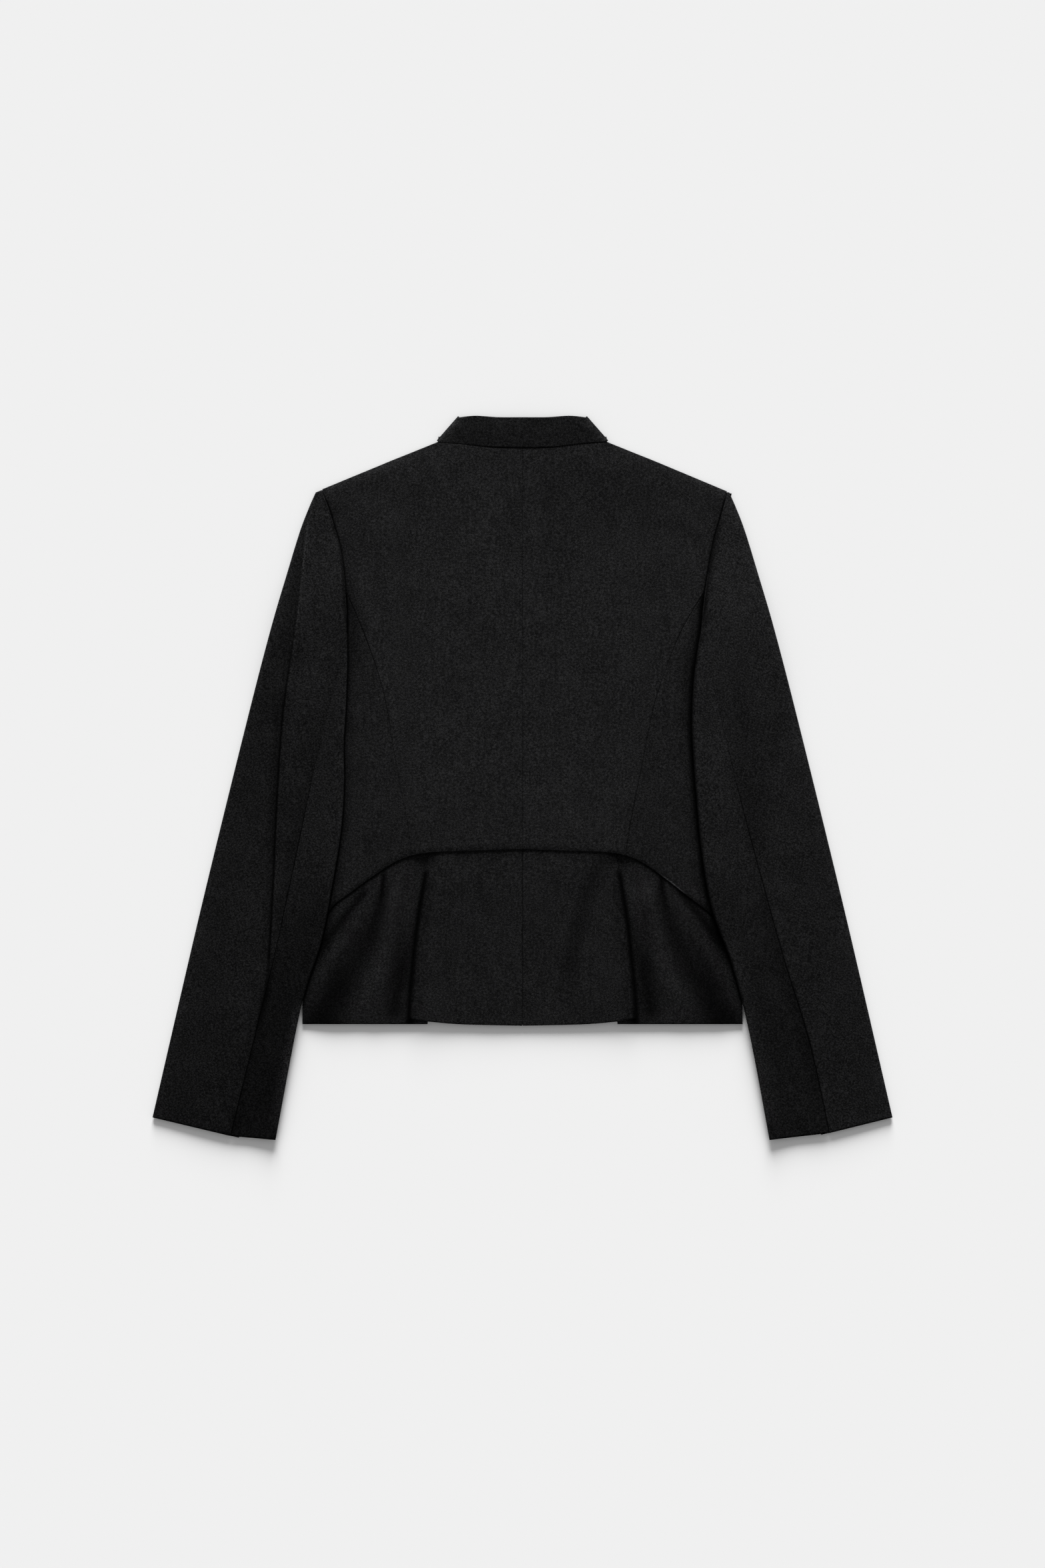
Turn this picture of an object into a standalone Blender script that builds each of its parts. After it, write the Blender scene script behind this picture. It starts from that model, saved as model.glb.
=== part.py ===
"""Fitted blazer with a stand collar and a pleated peplum, laid flat with its back upward.

Every piece is one cut panel of cloth. The outer face of a panel is worked out from the garment's
plan and its heights, and is thickened inward by one wall of cloth. x runs across the garment from
the centre back, y runs up towards the collar, and z is the height above the surface it lies on.
Sizes are in metres.
"""
import math
from collections import namedtuple

import bmesh
import bpy
import numpy as np

# Cloth
WALL = 0.0015                # outer cloth with its backing
SEAM_GAP = 0.0004            # between panels that are sewn edge to edge
REST_GAP = 0.0004            # between a layer and the layer it lies on
CLOTH_COLOUR = (0.010, 0.010, 0.0105, 1.0)
CLOTH_ROUGHNESS = 0.92

# Heights of the layers, each on the one before
FRONT_TOP = WALL
FLANK_TOP = FRONT_TOP + REST_GAP + WALL
BACK_LOFT = 0.0020           # how much higher the back lies in its middle than at its sides
PLEAT_RADIUS = 0.0017        # outer radius of the cloth turning round a pleat's edge
PLEAT_TOP = FLANK_TOP + REST_GAP + 2 * PLEAT_RADIUS
PEPLUM_SAG = 0.0022          # how far the middle of the peplum sinks between its pleats at the hem
SLOPE_ROOM = 0.0003          # more height where a sloping wall lies over another
WAIST_TOP_MIDDLE = PLEAT_TOP + REST_GAP + WALL + SLOPE_ROOM
WAIST_TOP_SIDE = FLANK_TOP + REST_GAP + WALL + SLOPE_ROOM

# Plan of the body
WAIST_TUCK = 0.006           # how far the peplum runs up under the bodice's lower edge
WAIST_RUN = 0.050            # length over which the bodice rises to its lower edge
WAIST_STEP_START = 0.100     # half width at which the lower edge begins to come down from the pleats
WAIST_STEP_WIDTH = 0.028     # width over which it comes down
LOFT_START = 0.168           # half width at which the back begins to rise
LOFT_FULL = 0.085            # half width at which it has risen
SHOULDER_ROLL = 0.030        # depth over which the back comes down to the shoulder
NECK_RISE = 0.358            # where the line of the two shoulders would cross the centre back
SPREAD_END = 0.178           # half width beyond which the waist seam is the same on both sides
SIDE_HEM = -0.2365
FRONT_HEM = -0.2310
FRONT_WAIST = -0.1450
PRINCESS_TOP = 0.1785        # where the princess seam runs into the armhole
SIDE_WAIST = -0.1440         # where the waist seam reaches the side seam
UNDERARM = 0.1120            # top of the side seam, where the armhole begins

# Sleeves
SLEEVE_TURN = 0.0022         # radius of a sleeve's folded edges
SLEEVE_TIP_TURN = 0.0017     # the same at the shoulder point
SLEEVE_CROWN = 0.0010        # how much fuller a sleeve is in its middle
SLEEVE_DROP = 0.045          # width over which a sleeve comes down from the body to the floor
SLEEVE_OVERHANG = 0.012      # how far it keeps the body's height past the body's edge
HEAD_SHARE = 0.205           # share of the outer edge that belongs to the sleeve head
SLEEVE_HEAD_TOP = 0.2735     # the head runs down the armhole from here
SLEEVE_HEAD_END = 0.1480

# Collar
COLLAR_TURN = 0.0022         # radius of the collar's fold at the side of the neck

# Counts of faces
TURN_STEPS = 4
PRINCESS_ROWS = 13
ARMHOLE_ROWS = 4
HEAD_ROWS = 8
ARM_ROWS = 13

Place = namedtuple("Place", "x y")
EdgeRow = namedtuple("EdgeRow", "y x")
WaistRow = namedtuple("WaistRow", "x y")
PleatRow = namedtuple("PleatRow", "y x depth")
LiftRow = namedtuple("LiftRow", "y height")
Ridge = namedtuple("Ridge", "top bottom height top_width bottom_width")
Side = namedtuple("Side", "name sign spread")

# spread widens the inner seams of a half, which lies a little wider on the left
SIDES = (Side("right", 1, 1.0), Side("left", -1, 1.07))

# Half width of the body from the hem up the side, round the underarm and up the armhole
BODY_EDGE = (
    EdgeRow(-0.2365, 0.2112), EdgeRow(-0.2200, 0.2112), EdgeRow(-0.1700, 0.2030), EdgeRow(-0.1440, 0.1965),
    EdgeRow(-0.1000, 0.1895), EdgeRow(-0.0600, 0.1880), EdgeRow(0.0300, 0.2050), EdgeRow(0.1150, 0.2230),
    EdgeRow(0.1260, 0.2220), EdgeRow(0.1330, 0.1980), EdgeRow(0.1430, 0.1800), EdgeRow(0.1550, 0.1725),
    EdgeRow(0.1785, 0.1738), EdgeRow(0.2200, 0.1770), EdgeRow(0.2470, 0.1835), EdgeRow(0.2752, 0.1922),
)
# The lower part of the armhole, which the sleeve hides
ARMHOLE_SCOOP = (Place(0.1725, 0.155), Place(0.1800, 0.143), Place(0.1980, 0.133), Place(0.2220, 0.126))
WAIST_SEAM = (
    WaistRow(0.0000, -0.0685), WaistRow(0.0408, -0.0700), WaistRow(0.0742, -0.0710), WaistRow(0.0915, -0.0728),
    WaistRow(0.1110, -0.0793), WaistRow(0.1355, -0.0957), WaistRow(0.1560, -0.1117), WaistRow(0.1775, -0.1280),
    WaistRow(0.1965, -0.1440),
)
PRINCESS_SEAM = (
    EdgeRow(-0.0740, 0.0990), EdgeRow(-0.0404, 0.1043), EdgeRow(0.0266, 0.1176), EdgeRow(0.0682, 0.1261),
    EdgeRow(0.1027, 0.1370), EdgeRow(0.1418, 0.1530), EdgeRow(0.1785, 0.1736),
)
NECK_SEAM = (Place(0.0, 0.3158), Place(0.0300, 0.3166), Place(0.0560, 0.3196), Place(0.0812, 0.3222))
SHOULDER_SEAM = (Place(0.0812, 0.3222), Place(0.1050, 0.3126), Place(0.1380, 0.2992), Place(0.1922, 0.2752))
HEM_MIDDLE = (WaistRow(0.0, -0.2380), WaistRow(0.0550, -0.2368), WaistRow(0.0900, -0.2340), WaistRow(0.1100, -0.2308))

# Edge of the pleat beside the centre of the peplum, with the depth of cloth turned under it
PLEATS = (
    PleatRow(-0.2400, 0.1091, 0.0180), PleatRow(-0.2096, 0.1076, 0.0150), PleatRow(-0.1820, 0.1050, 0.0125),
    PleatRow(-0.1520, 0.1018, 0.0100), PleatRow(-0.1210, 0.0976, 0.0075), PleatRow(-0.0650, 0.0885, 0.0050),
)
# Soft folds that fan out from the waist seam over the side of the peplum
RIDGES = (
    Ridge(Place(0.1215, -0.0960), Place(0.1460, -0.2365), 0.0052, 0.012, 0.027),
    Ridge(Place(0.1400, -0.1080), Place(0.2080, -0.2150), 0.0040, 0.010, 0.018),
)
RIDGE_SWELL = 0.070          # length below the waist seam over which a fold grows to full height
RIDGE_FADE_END = 1.15        # share of its length at which a fold that stops short of the hem is gone
RIDGE_FADE = 0.40
RETURN_DROP = 0.0012         # how much lower the hem lies where it is turned under a pleat

# Height of what lies under the sleeve's inner edge
SLEEVE_LIFT = (
    LiftRow(-0.2600, 0.0040), LiftRow(-0.2300, 0.0048), LiftRow(-0.1900, 0.0055), LiftRow(-0.1600, 0.0062),
    LiftRow(-0.1050, 0.0062), LiftRow(-0.0600, 0.0044), LiftRow(0.0600, 0.0044), LiftRow(0.1600, 0.0047),
)
SLEEVE_OUTER = (
    Place(0.1980, 0.2725), Place(0.2047, 0.2586), Place(0.2136, 0.2365), Place(0.2259, 0.1962),
    Place(0.2426, 0.1386), Place(0.2675, 0.0426), Place(0.3098, -0.1302), Place(0.3552, -0.3260),
)
SLEEVE_INNER = {
    "right": (
        Place(0.1685, 0.1290), Place(0.1640, 0.0800), Place(0.1638, 0.0290), Place(0.1670, -0.0200),
        Place(0.1715, -0.0680), Place(0.1810, -0.1240), Place(0.2006, -0.1790), Place(0.2176, -0.2450),
        Place(0.2370, -0.3475),
    ),
    "left": (
        Place(0.1682, 0.1290), Place(0.1695, 0.0656), Place(0.1715, 0.0290), Place(0.1712, -0.0086),
        Place(0.1740, -0.0500), Place(0.1820, -0.1010), Place(0.1933, -0.1584), Place(0.2125, -0.2205),
        Place(0.2370, -0.3475),
    ),
}
SLEEVE_SEAM = {
    "right": (
        Place(0.1735, 0.1290), Place(0.1860, 0.0760), Place(0.2020, 0.0070), Place(0.2223, -0.0717),
        Place(0.2496, -0.1699), Place(0.2761, -0.2570), Place(0.2944, -0.3410),
    ),
    "left": (
        Place(0.1735, 0.1290), Place(0.1835, 0.0760), Place(0.2000, 0.0070), Place(0.2172, -0.0750),
        Place(0.2385, -0.1740), Place(0.2577, -0.2523), Place(0.2800, -0.3438),
    ),
}
SLEEVE_HEAD_CORNER = Place(0.1722, SLEEVE_HEAD_END)
# Long crease down the left sleeve: the cloth steps up on its inner side
SLEEVE_CREASE = (
    Place(0.2070, 0.2430), Place(0.2104, 0.2104), Place(0.2179, 0.1418), Place(0.2291, 0.0634),
    Place(0.2351, -0.0199), Place(0.2394, -0.1130), Place(0.2440, -0.1700),
)
CREASE_STEP = 0.0020         # height of the step
CREASE_FACE = 0.004          # width of its steep side
CREASE_FADE = 0.034          # width over which it sinks again
CREASE_ENDS = 0.28           # share of the crease over which it grows at each end

COLLAR_TOP_BACK = (Place(0.0, 0.3458), Place(0.0240, 0.3459), Place(0.0450, 0.3473), Place(0.0605, 0.3458))
COLLAR_BASE_FRONT = (Place(0.0812, 0.3222), Place(0.0770, 0.2930), Place(0.0560, 0.2560), Place(0.0, 0.2360))
COLLAR_TOP_FRONT = (Place(0.0605, 0.3458), Place(0.0520, 0.3050), Place(0.0380, 0.2790), Place(0.0, 0.2640))


def clamp(value):
    return min(max(value, 0.0), 1.0)


def ease(value):
    """Smooth step from 0 to 1."""
    value = clamp(value)
    return value * value * (3.0 - 2.0 * value)


def mix(start, end, share):
    return start + (end - start) * share


def read_table(rows, at, column=1):
    """Value of a column at a key, on a smooth curve through the rows that never overshoots them."""
    keys = [row[0] for row in rows]
    values = [row[column] for row in rows]
    slopes = [(values[i + 1] - values[i]) / (keys[i + 1] - keys[i]) for i in range(len(keys) - 1)]

    def tangent(i):
        if i == 0 or i == len(keys) - 1:
            return slopes[min(i, len(slopes) - 1)]
        before, after = slopes[i - 1], slopes[i]
        return 0.0 if before * after <= 0 else 2.0 * before * after / (before + after)

    at = min(max(at, keys[0]), keys[-1])
    i = max(k for k in range(len(slopes)) if keys[k] <= at)
    span = keys[i + 1] - keys[i]
    t = (at - keys[i]) / span
    rise = values[i + 1] - values[i]
    lead = t * (1 - t) * ((1 - t) * (span * tangent(i) - rise) - t * (span * tangent(i + 1) - rise))
    return values[i] + rise * t + lead


def path_through(places, steps=12):
    """Smooth path through plan places, read by the share of its length."""
    points = np.array(places, float)
    padded = np.vstack([points[:1], points, points[-1:]])
    dense = []
    for before, start, end, after in zip(padded, padded[1:], padded[2:], padded[3:]):
        for t in np.arange(steps) / steps:
            bend = (2 * before - 5 * start + 4 * end - after) * t * t
            turn = (3 * start - 3 * end + after - before) * t ** 3
            dense.append(start + 0.5 * ((end - before) * t + bend + turn))
    dense = np.array(dense + [points[-1]])
    run = np.concatenate([[0.0], np.cumsum(np.linalg.norm(np.diff(dense, axis=0), axis=1))])

    def at(share):
        return np.array([np.interp(share * run[-1], run, dense[:, axis]) for axis in (0, 1)])

    return at


def beside(path, distance, step=0.004):
    """The same path moved sideways, to its left for a positive distance."""
    def at(share):
        ahead = path(min(share + step, 1.0)) - path(max(share - step, 0.0))
        ahead /= np.linalg.norm(ahead)
        return path(share) + distance * np.array([-ahead[1], ahead[0]])

    return at


def straight(start, end):
    return lambda share: mix(np.array(start, float), np.array(end, float), share)


def patch(bottom, top, left, right):
    """Plan patch between four paths that meet at their ends, read by its shares across and up."""
    def at(across, up):
        sides = mix(bottom(across), top(across), up) + mix(left(up), right(up), across)
        corners = mix(mix(bottom(0), bottom(1), across), mix(top(0), top(1), across), up)
        return sides - corners

    return at


# Plan curves
def body_edge(y):
    return read_table(BODY_EDGE, y)


def waist_y(x, side):
    half = abs(x)
    widest = WAIST_SEAM[-1].x
    spread = mix(side.spread, 1.0, ease((half - SPREAD_END) / (widest - SPREAD_END)))
    return read_table(WAIST_SEAM, half / spread)


def edge_path(low, high, inset=0.0, rows=24):
    """Outer edge of the body between two heights, from the lower to the higher."""
    heights = [mix(low, high, k / rows) for k in range(rows + 1)]
    return path_through([Place(body_edge(y) - inset, y) for y in heights], steps=4)


def waist_path(start, end, side, lift=0.0, rows=16):
    """Waist seam between two half widths, moved up by lift."""
    spans = [mix(start, end, k / rows) for k in range(rows + 1)]
    return path_through([Place(x, waist_y(x, side) + lift) for x in spans], steps=4)


def princess_path(side):
    """Princess seam from the waist seam to the armhole."""
    top = PRINCESS_SEAM[-1]
    places = [Place(mix(row.x * side.spread, row.x, ease(k / (len(PRINCESS_SEAM) - 1))), row.y)
              for k, row in enumerate(PRINCESS_SEAM[:-1])]
    start = Place(places[0].x, waist_y(places[0].x, side))
    return path_through([start] + places[1:] + [Place(top.x, top.y)])


# Heights of the outer faces
def bodice_top(x, y, side):
    """Outer face of the back: flat at its sides, lofted in its middle, raised along the waist seam."""
    half = abs(x)
    neck, tip = SHOULDER_SEAM[0], SHOULDER_SEAM[-1]
    shoulder = np.interp(half, [0.0, neck.x, tip.x], [NECK_RISE, neck.y, tip.y])
    loft = ease((LOFT_START - half) / (LOFT_START - LOFT_FULL)) * ease((shoulder - y) / SHOULDER_ROLL)
    plain = FLANK_TOP + BACK_LOFT * loft
    edge = mix(WAIST_TOP_MIDDLE, WAIST_TOP_SIDE, ease((half - WAIST_STEP_START) / WAIST_STEP_WIDTH))
    return mix(plain, edge, ease(1.0 - (y - waist_y(half, side)) / WAIST_RUN))


def ridge_height(x, y, ridge):
    """Height that one soft fold adds at a place, full at the hem and nothing at the waist seam."""
    top, bottom = np.array(ridge.top), np.array(ridge.bottom)
    run = bottom - top
    along = float(np.dot(np.array([x, y]) - top, run) / np.dot(run, run))
    away = np.linalg.norm(np.array([x, y]) - top - run * along)
    reach = mix(ridge.top_width, ridge.bottom_width, clamp(along))
    swell = ease(along * np.linalg.norm(run) / RIDGE_SWELL)
    end = 1.0 if ridge.bottom.y <= SIDE_HEM else ease((RIDGE_FADE_END - along) / RIDGE_FADE)
    return ridge.height * swell * end * max(0.0, 1.0 - (away / reach) ** 2) ** 2


def peplum_side_top(x, y):
    return FLANK_TOP + sum(ridge_height(abs(x), y, ridge) for ridge in RIDGES)


def sleeve_rest(x, y):
    """Height of the surface under a sleeve: the body's side where it overlaps it, and the floor beyond."""
    half = abs(x)
    outside = half - body_edge(min(y, UNDERARM))
    above = y - np.interp(half, [place.x for place in ARMHOLE_SCOOP], [place.y for place in ARMHOLE_SCOOP])
    past_side = ease((outside - SLEEVE_OVERHANG) / SLEEVE_DROP)
    past_armhole = ease((above - SLEEVE_OVERHANG) / SLEEVE_DROP)
    on_body = (1.0 - past_side) * (1.0 - past_armhole)
    return read_table(SLEEVE_LIFT, y) * on_body


def crease_height(x, y, crease):
    """Step of the left sleeve's long crease: sharp on its outer side, fading away on its inner side."""
    shares = np.linspace(0.0, 1.0, 60)
    places = np.array([crease(share) for share in shares])
    gaps = np.hypot(places[:, 0] - abs(x), places[:, 1] - y)
    nearest = int(gaps.argmin())
    inner = 1.0 if abs(x) < places[nearest, 0] else -1.0
    away = inner * gaps[nearest]
    face = ease((away + CREASE_FACE) / CREASE_FACE)
    fade = 1.0 - ease(away / CREASE_FADE)
    ends = ease(shares[nearest] / CREASE_ENDS) * ease((1.0 - shares[nearest]) / CREASE_ENDS)
    return CREASE_STEP * face * fade * ends


# Making pieces
def cloth_material(name):
    material = bpy.data.materials.new(name)
    material.use_nodes = True
    shader = material.node_tree.nodes["Principled BSDF"]
    shader.inputs["Base Color"].default_value = CLOTH_COLOUR
    shader.inputs["Roughness"].default_value = CLOTH_ROUGHNESS
    shader.inputs["Metallic"].default_value = 0.0
    return material


def cloth_panel(name, collection, columns, rows, outer_face, upward=(0.25, 0.5)):
    """Panel whose outer face maps grid shares to a place, with one wall of cloth behind it.

    upward is a spot of the grid where the outer face looks up, which settles the face direction.
    """
    grid = bmesh.new()
    bmesh.ops.create_grid(grid, x_segments=columns, y_segments=rows, size=0.5)
    for vertex in grid.verts:
        vertex.co = outer_face(clamp(vertex.co.x + 0.5), clamp(vertex.co.y + 0.5))
    grid.normal_update()
    grid.faces.ensure_lookup_table()
    spot = grid.faces[min(int(upward[1] * rows), rows - 1) * columns + min(int(upward[0] * columns), columns - 1)]
    if spot.normal.z < 0:
        bmesh.ops.reverse_faces(grid, faces=grid.faces)
    mesh = bpy.data.meshes.new(name)
    grid.to_mesh(mesh)
    grid.free()
    mesh.shade_smooth()
    panel = bpy.data.objects.new(name, mesh)
    panel.data.materials.append(cloth_material("wool_" + name))
    collection.objects.link(panel)
    wall = panel.modifiers.new("Cloth wall", "SOLIDIFY")
    wall.thickness = WALL
    wall.offset = -1.0
    wall.use_even_offset = True
    return panel


def flat_panel(name, collection, outline):
    """Panel that lies flat on the floor, from its outline."""
    curve = bpy.data.curves.new(name, "CURVE")
    curve.dimensions = "2D"
    curve.fill_mode = "BOTH"
    curve.extrude = WALL / 2
    spline = curve.splines.new("POLY")
    spline.points.add(len(outline) - 1)
    for point, place in zip(spline.points, outline):
        point.co = (place[0], place[1], 0.0, 1.0)
    spline.use_cyclic_u = True
    panel = bpy.data.objects.new(name, curve)
    panel.location.z = WALL / 2
    curve.materials.append(cloth_material("wool_" + name))
    collection.objects.link(panel)
    return panel


# Bodice
def make_back(collection, side):
    """Centre back panel, from the centre back seam to the princess seam and the armhole."""
    half_gap = SEAM_GAP / 2
    princess = beside(princess_path(side), half_gap)
    armhole = edge_path(PRINCESS_TOP, BODY_EDGE[-1].y)
    rows = PRINCESS_ROWS + ARMHOLE_ROWS
    share = PRINCESS_ROWS / rows

    def outer(up):
        return princess(up / share) if up < share else armhole((up - share) / (1.0 - share))

    neck = beside(path_through(NECK_SEAM), -half_gap)
    shoulder = path_through(SHOULDER_SEAM)
    neck_share = 0.42

    def top(across):
        if across < neck_share:
            return neck(across / neck_share)
        return shoulder((across - neck_share) / (1.0 - neck_share))

    corner = outer(0.0)
    plan = patch(waist_path(half_gap, corner[0], side), top,
                 straight((half_gap, waist_y(0.0, side)), top(0.0)), outer)

    def outer_face(across, up):
        x, y = plan(across, up)
        return side.sign * x, y, bodice_top(x, y, side)

    cloth_panel("back_" + side.name, collection, 9, rows, outer_face)


def make_back_side(collection, side):
    """Side panel of the back, from the princess seam to the side seam."""
    princess = beside(princess_path(side), -SEAM_GAP / 2)
    side_seam = edge_path(SIDE_WAIST, UNDERARM)
    armhole = edge_path(UNDERARM, PRINCESS_TOP - 0.004)
    seam_share = 7 / PRINCESS_ROWS

    def edge(up):
        if up < seam_share:
            return side_seam(up / seam_share)
        return armhole((up - seam_share) / (1.0 - seam_share))

    start, end = princess(0.0), edge(0.0)
    bottom = waist_path(start[0], end[0], side)
    plan = patch(lambda across: bottom(across) + (start - bottom(0)) * (1 - across) + (end - bottom(1)) * across,
                 straight(princess(1.0), edge(1.0)), princess, edge)

    def outer_face(across, up):
        x, y = plan(across, up)
        return side.sign * x, y, bodice_top(x, y, side)

    cloth_panel("back_side_" + side.name, collection, 5, PRINCESS_ROWS, outer_face)


def make_front(collection, side):
    """Front panel, which lies on the floor under the back."""
    neck = beside(path_through(COLLAR_BASE_FRONT), SEAM_GAP)
    shoulder = path_through(SHOULDER_SEAM)
    edge = edge_path(FRONT_WAIST + SEAM_GAP, BODY_EDGE[-1].y)
    outline = [Place(SEAM_GAP / 2, FRONT_WAIST + SEAM_GAP)]
    outline += [edge(k / 20) for k in range(20)]
    outline += [shoulder(1.0 - k / 4) for k in range(4)]
    outline += [neck(0.02 + 0.98 * k / 8) for k in range(8)]
    outline += [Place(SEAM_GAP / 2, neck(1.0)[1])]
    flat_panel("front_" + side.name, collection, [(side.sign * x, y) for x, y in outline])


# Peplum
def make_peplum_back(collection, side, top_columns=7, return_columns=3):
    """Centre of the peplum, from the centre back seam to the pleat, round it and back underneath."""
    columns = top_columns + TURN_STEPS + return_columns
    half_gap = SEAM_GAP / 2

    def outer_face(across, down):
        step = across * columns
        level = mix(PLEATS[-1].y, SIDE_HEM, down)
        depth = read_table(PLEATS, level, 2)
        centre_x = read_table(PLEATS, level) - PLEAT_RADIUS
        if step <= top_columns:
            x = mix(half_gap, centre_x, step / top_columns)
            z = PLEAT_TOP - PEPLUM_SAG * (1.0 - (x / centre_x) ** 2) * ease(down)
        elif step <= top_columns + TURN_STEPS:
            angle = math.pi * (0.5 - (step - top_columns) / TURN_STEPS)
            x = centre_x + PLEAT_RADIUS * math.cos(angle)
            z = PLEAT_TOP - PLEAT_RADIUS + PLEAT_RADIUS * math.sin(angle)
        else:
            x = centre_x - (depth - PLEAT_RADIUS) * (step - top_columns - TURN_STEPS) / return_columns
            z = PLEAT_TOP - 2 * PLEAT_RADIUS
        hem = read_table(HEM_MIDDLE, x) - RETURN_DROP * clamp((step - top_columns) / TURN_STEPS)
        y = mix(waist_y(x, side) + WAIST_TUCK, hem, down)
        return side.sign * x, y, z

    cloth_panel("peplum_back_" + side.name, collection, columns, 7, outer_face)


def make_peplum_side(collection, side):
    """Side of the peplum, from under the pleat to the side seam, with its soft folds."""
    top_row, hem_row = PLEATS[-1], PLEATS[0]
    top_x = top_row.x - top_row.depth - 0.004
    hem_x = hem_row.x - hem_row.depth
    top_end = body_edge(SIDE_WAIST)
    top = waist_path(top_x, top_end - 0.0005, side, WAIST_TUCK)
    edge = edge_path(SIDE_HEM, SIDE_WAIST)
    right = lambda down: mix(top(1.0) - edge(1.0), np.zeros(2), down) + edge(1.0 - down)
    plan = patch(top, straight((hem_x, SIDE_HEM), right(1.0)), straight(top(0.0), (hem_x, SIDE_HEM)), right)

    def outer_face(across, down):
        x, y = plan(across, down)
        return side.sign * x, y, peplum_side_top(x, y)

    cloth_panel("peplum_side_" + side.name, collection, 16, 9, outer_face)


def make_peplum_front(collection, side):
    """Front of the peplum, which lies on the floor."""
    edge = edge_path(FRONT_HEM, FRONT_WAIST - SEAM_GAP)
    outline = [Place(SEAM_GAP / 2, FRONT_HEM)]
    outline += [edge(k / 6) for k in range(7)]
    outline += [Place(SEAM_GAP / 2, FRONT_WAIST - SEAM_GAP)]
    flat_panel("peplum_front_" + side.name, collection, [(side.sign * x, y) for x, y in outline])


# Sleeves
def sleeve_lines(side):
    """Seam line and outer edge of the top sleeve, read by row: the head's rows, then the arm's."""
    heights = [mix(SLEEVE_HEAD_TOP, SLEEVE_HEAD_END, k / HEAD_ROWS) for k in range(HEAD_ROWS)]
    places = [Place(body_edge(y) + SEAM_GAP, y) for y in heights]
    armhole = path_through(places + [SLEEVE_HEAD_CORNER, SLEEVE_SEAM[side.name][0]])
    seam = path_through(SLEEVE_SEAM[side.name])
    outer = path_through(SLEEVE_OUTER)

    def seam_at(row):
        if row <= HEAD_ROWS:
            return armhole(row / HEAD_ROWS)
        return seam((row - HEAD_ROWS) / ARM_ROWS)

    def outer_at(row):
        if row <= HEAD_ROWS:
            return outer(HEAD_SHARE * row / HEAD_ROWS)
        return outer(mix(HEAD_SHARE, 1.0, (row - HEAD_ROWS) / ARM_ROWS))

    return seam_at, outer_at


def flattened_turn(seam, edge, radius, step, wall_columns):
    """Place and rise across one flattened half of a sleeve: over the top, round its edge, back beneath."""
    across = edge - seam
    reach = np.linalg.norm(across)
    across /= reach
    flat = reach - radius
    if step <= wall_columns:
        share = step / wall_columns
        return seam + across * flat * share, 2 * radius, share
    if step <= wall_columns + TURN_STEPS:
        angle = math.pi * (0.5 - (step - wall_columns) / TURN_STEPS)
        return seam + across * (flat + radius * math.cos(angle)), radius * (1 + math.sin(angle)), 1.0
    share = 1.0 - (step - wall_columns - TURN_STEPS) / wall_columns
    return seam + across * flat * share, 0.0, share


def make_top_sleeve(collection, side, wall_columns=5):
    """Outer half of the sleeve, from the shoulder point to the cuff."""
    seam_at, outer_at = sleeve_lines(side)
    crease = path_through(SLEEVE_CREASE)
    columns = 2 * wall_columns + TURN_STEPS
    rows = HEAD_ROWS + ARM_ROWS

    def outer_face(across, down):
        row, step = down * rows, across * columns
        seam, edge = seam_at(row), outer_at(row)
        away = (edge - seam) / np.linalg.norm(edge - seam)
        radius = mix(SLEEVE_TIP_TURN, SLEEVE_TURN, ease(row / 2))
        place, rise, share = flattened_turn(seam + away * SEAM_GAP / 2, edge, radius, step, wall_columns)
        z = sleeve_rest(*place) + rise
        if step <= wall_columns:
            z += SLEEVE_CROWN * ease(row / HEAD_ROWS) * (1.0 - share ** 2)
            if side.name == "left":
                z += crease_height(*place, crease)
        return side.sign * place[0], place[1], z

    cloth_panel("top_sleeve_" + side.name, collection, columns, rows, outer_face, (0.1, 0.5))


def make_under_sleeve(collection, side, wall_columns=4):
    """Inner half of the sleeve, from the underarm to the cuff."""
    seam_at, _ = sleeve_lines(side)
    inner = path_through(SLEEVE_INNER[side.name])
    columns = 2 * wall_columns + TURN_STEPS

    def outer_face(across, down):
        row, step = down * ARM_ROWS, across * columns
        seam, edge = seam_at(HEAD_ROWS + row), inner(down)
        away = (edge - seam) / np.linalg.norm(edge - seam)
        place, rise, share = flattened_turn(seam + away * SEAM_GAP / 2, edge, SLEEVE_TURN, step, wall_columns)
        z = sleeve_rest(*place) + rise
        if step <= wall_columns:
            z += SLEEVE_CROWN * (1.0 - share ** 2)
        return side.sign * place[0], place[1], z

    cloth_panel("under_sleeve_" + side.name, collection, columns, ARM_ROWS, outer_face, (0.1, 0.5))


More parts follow.
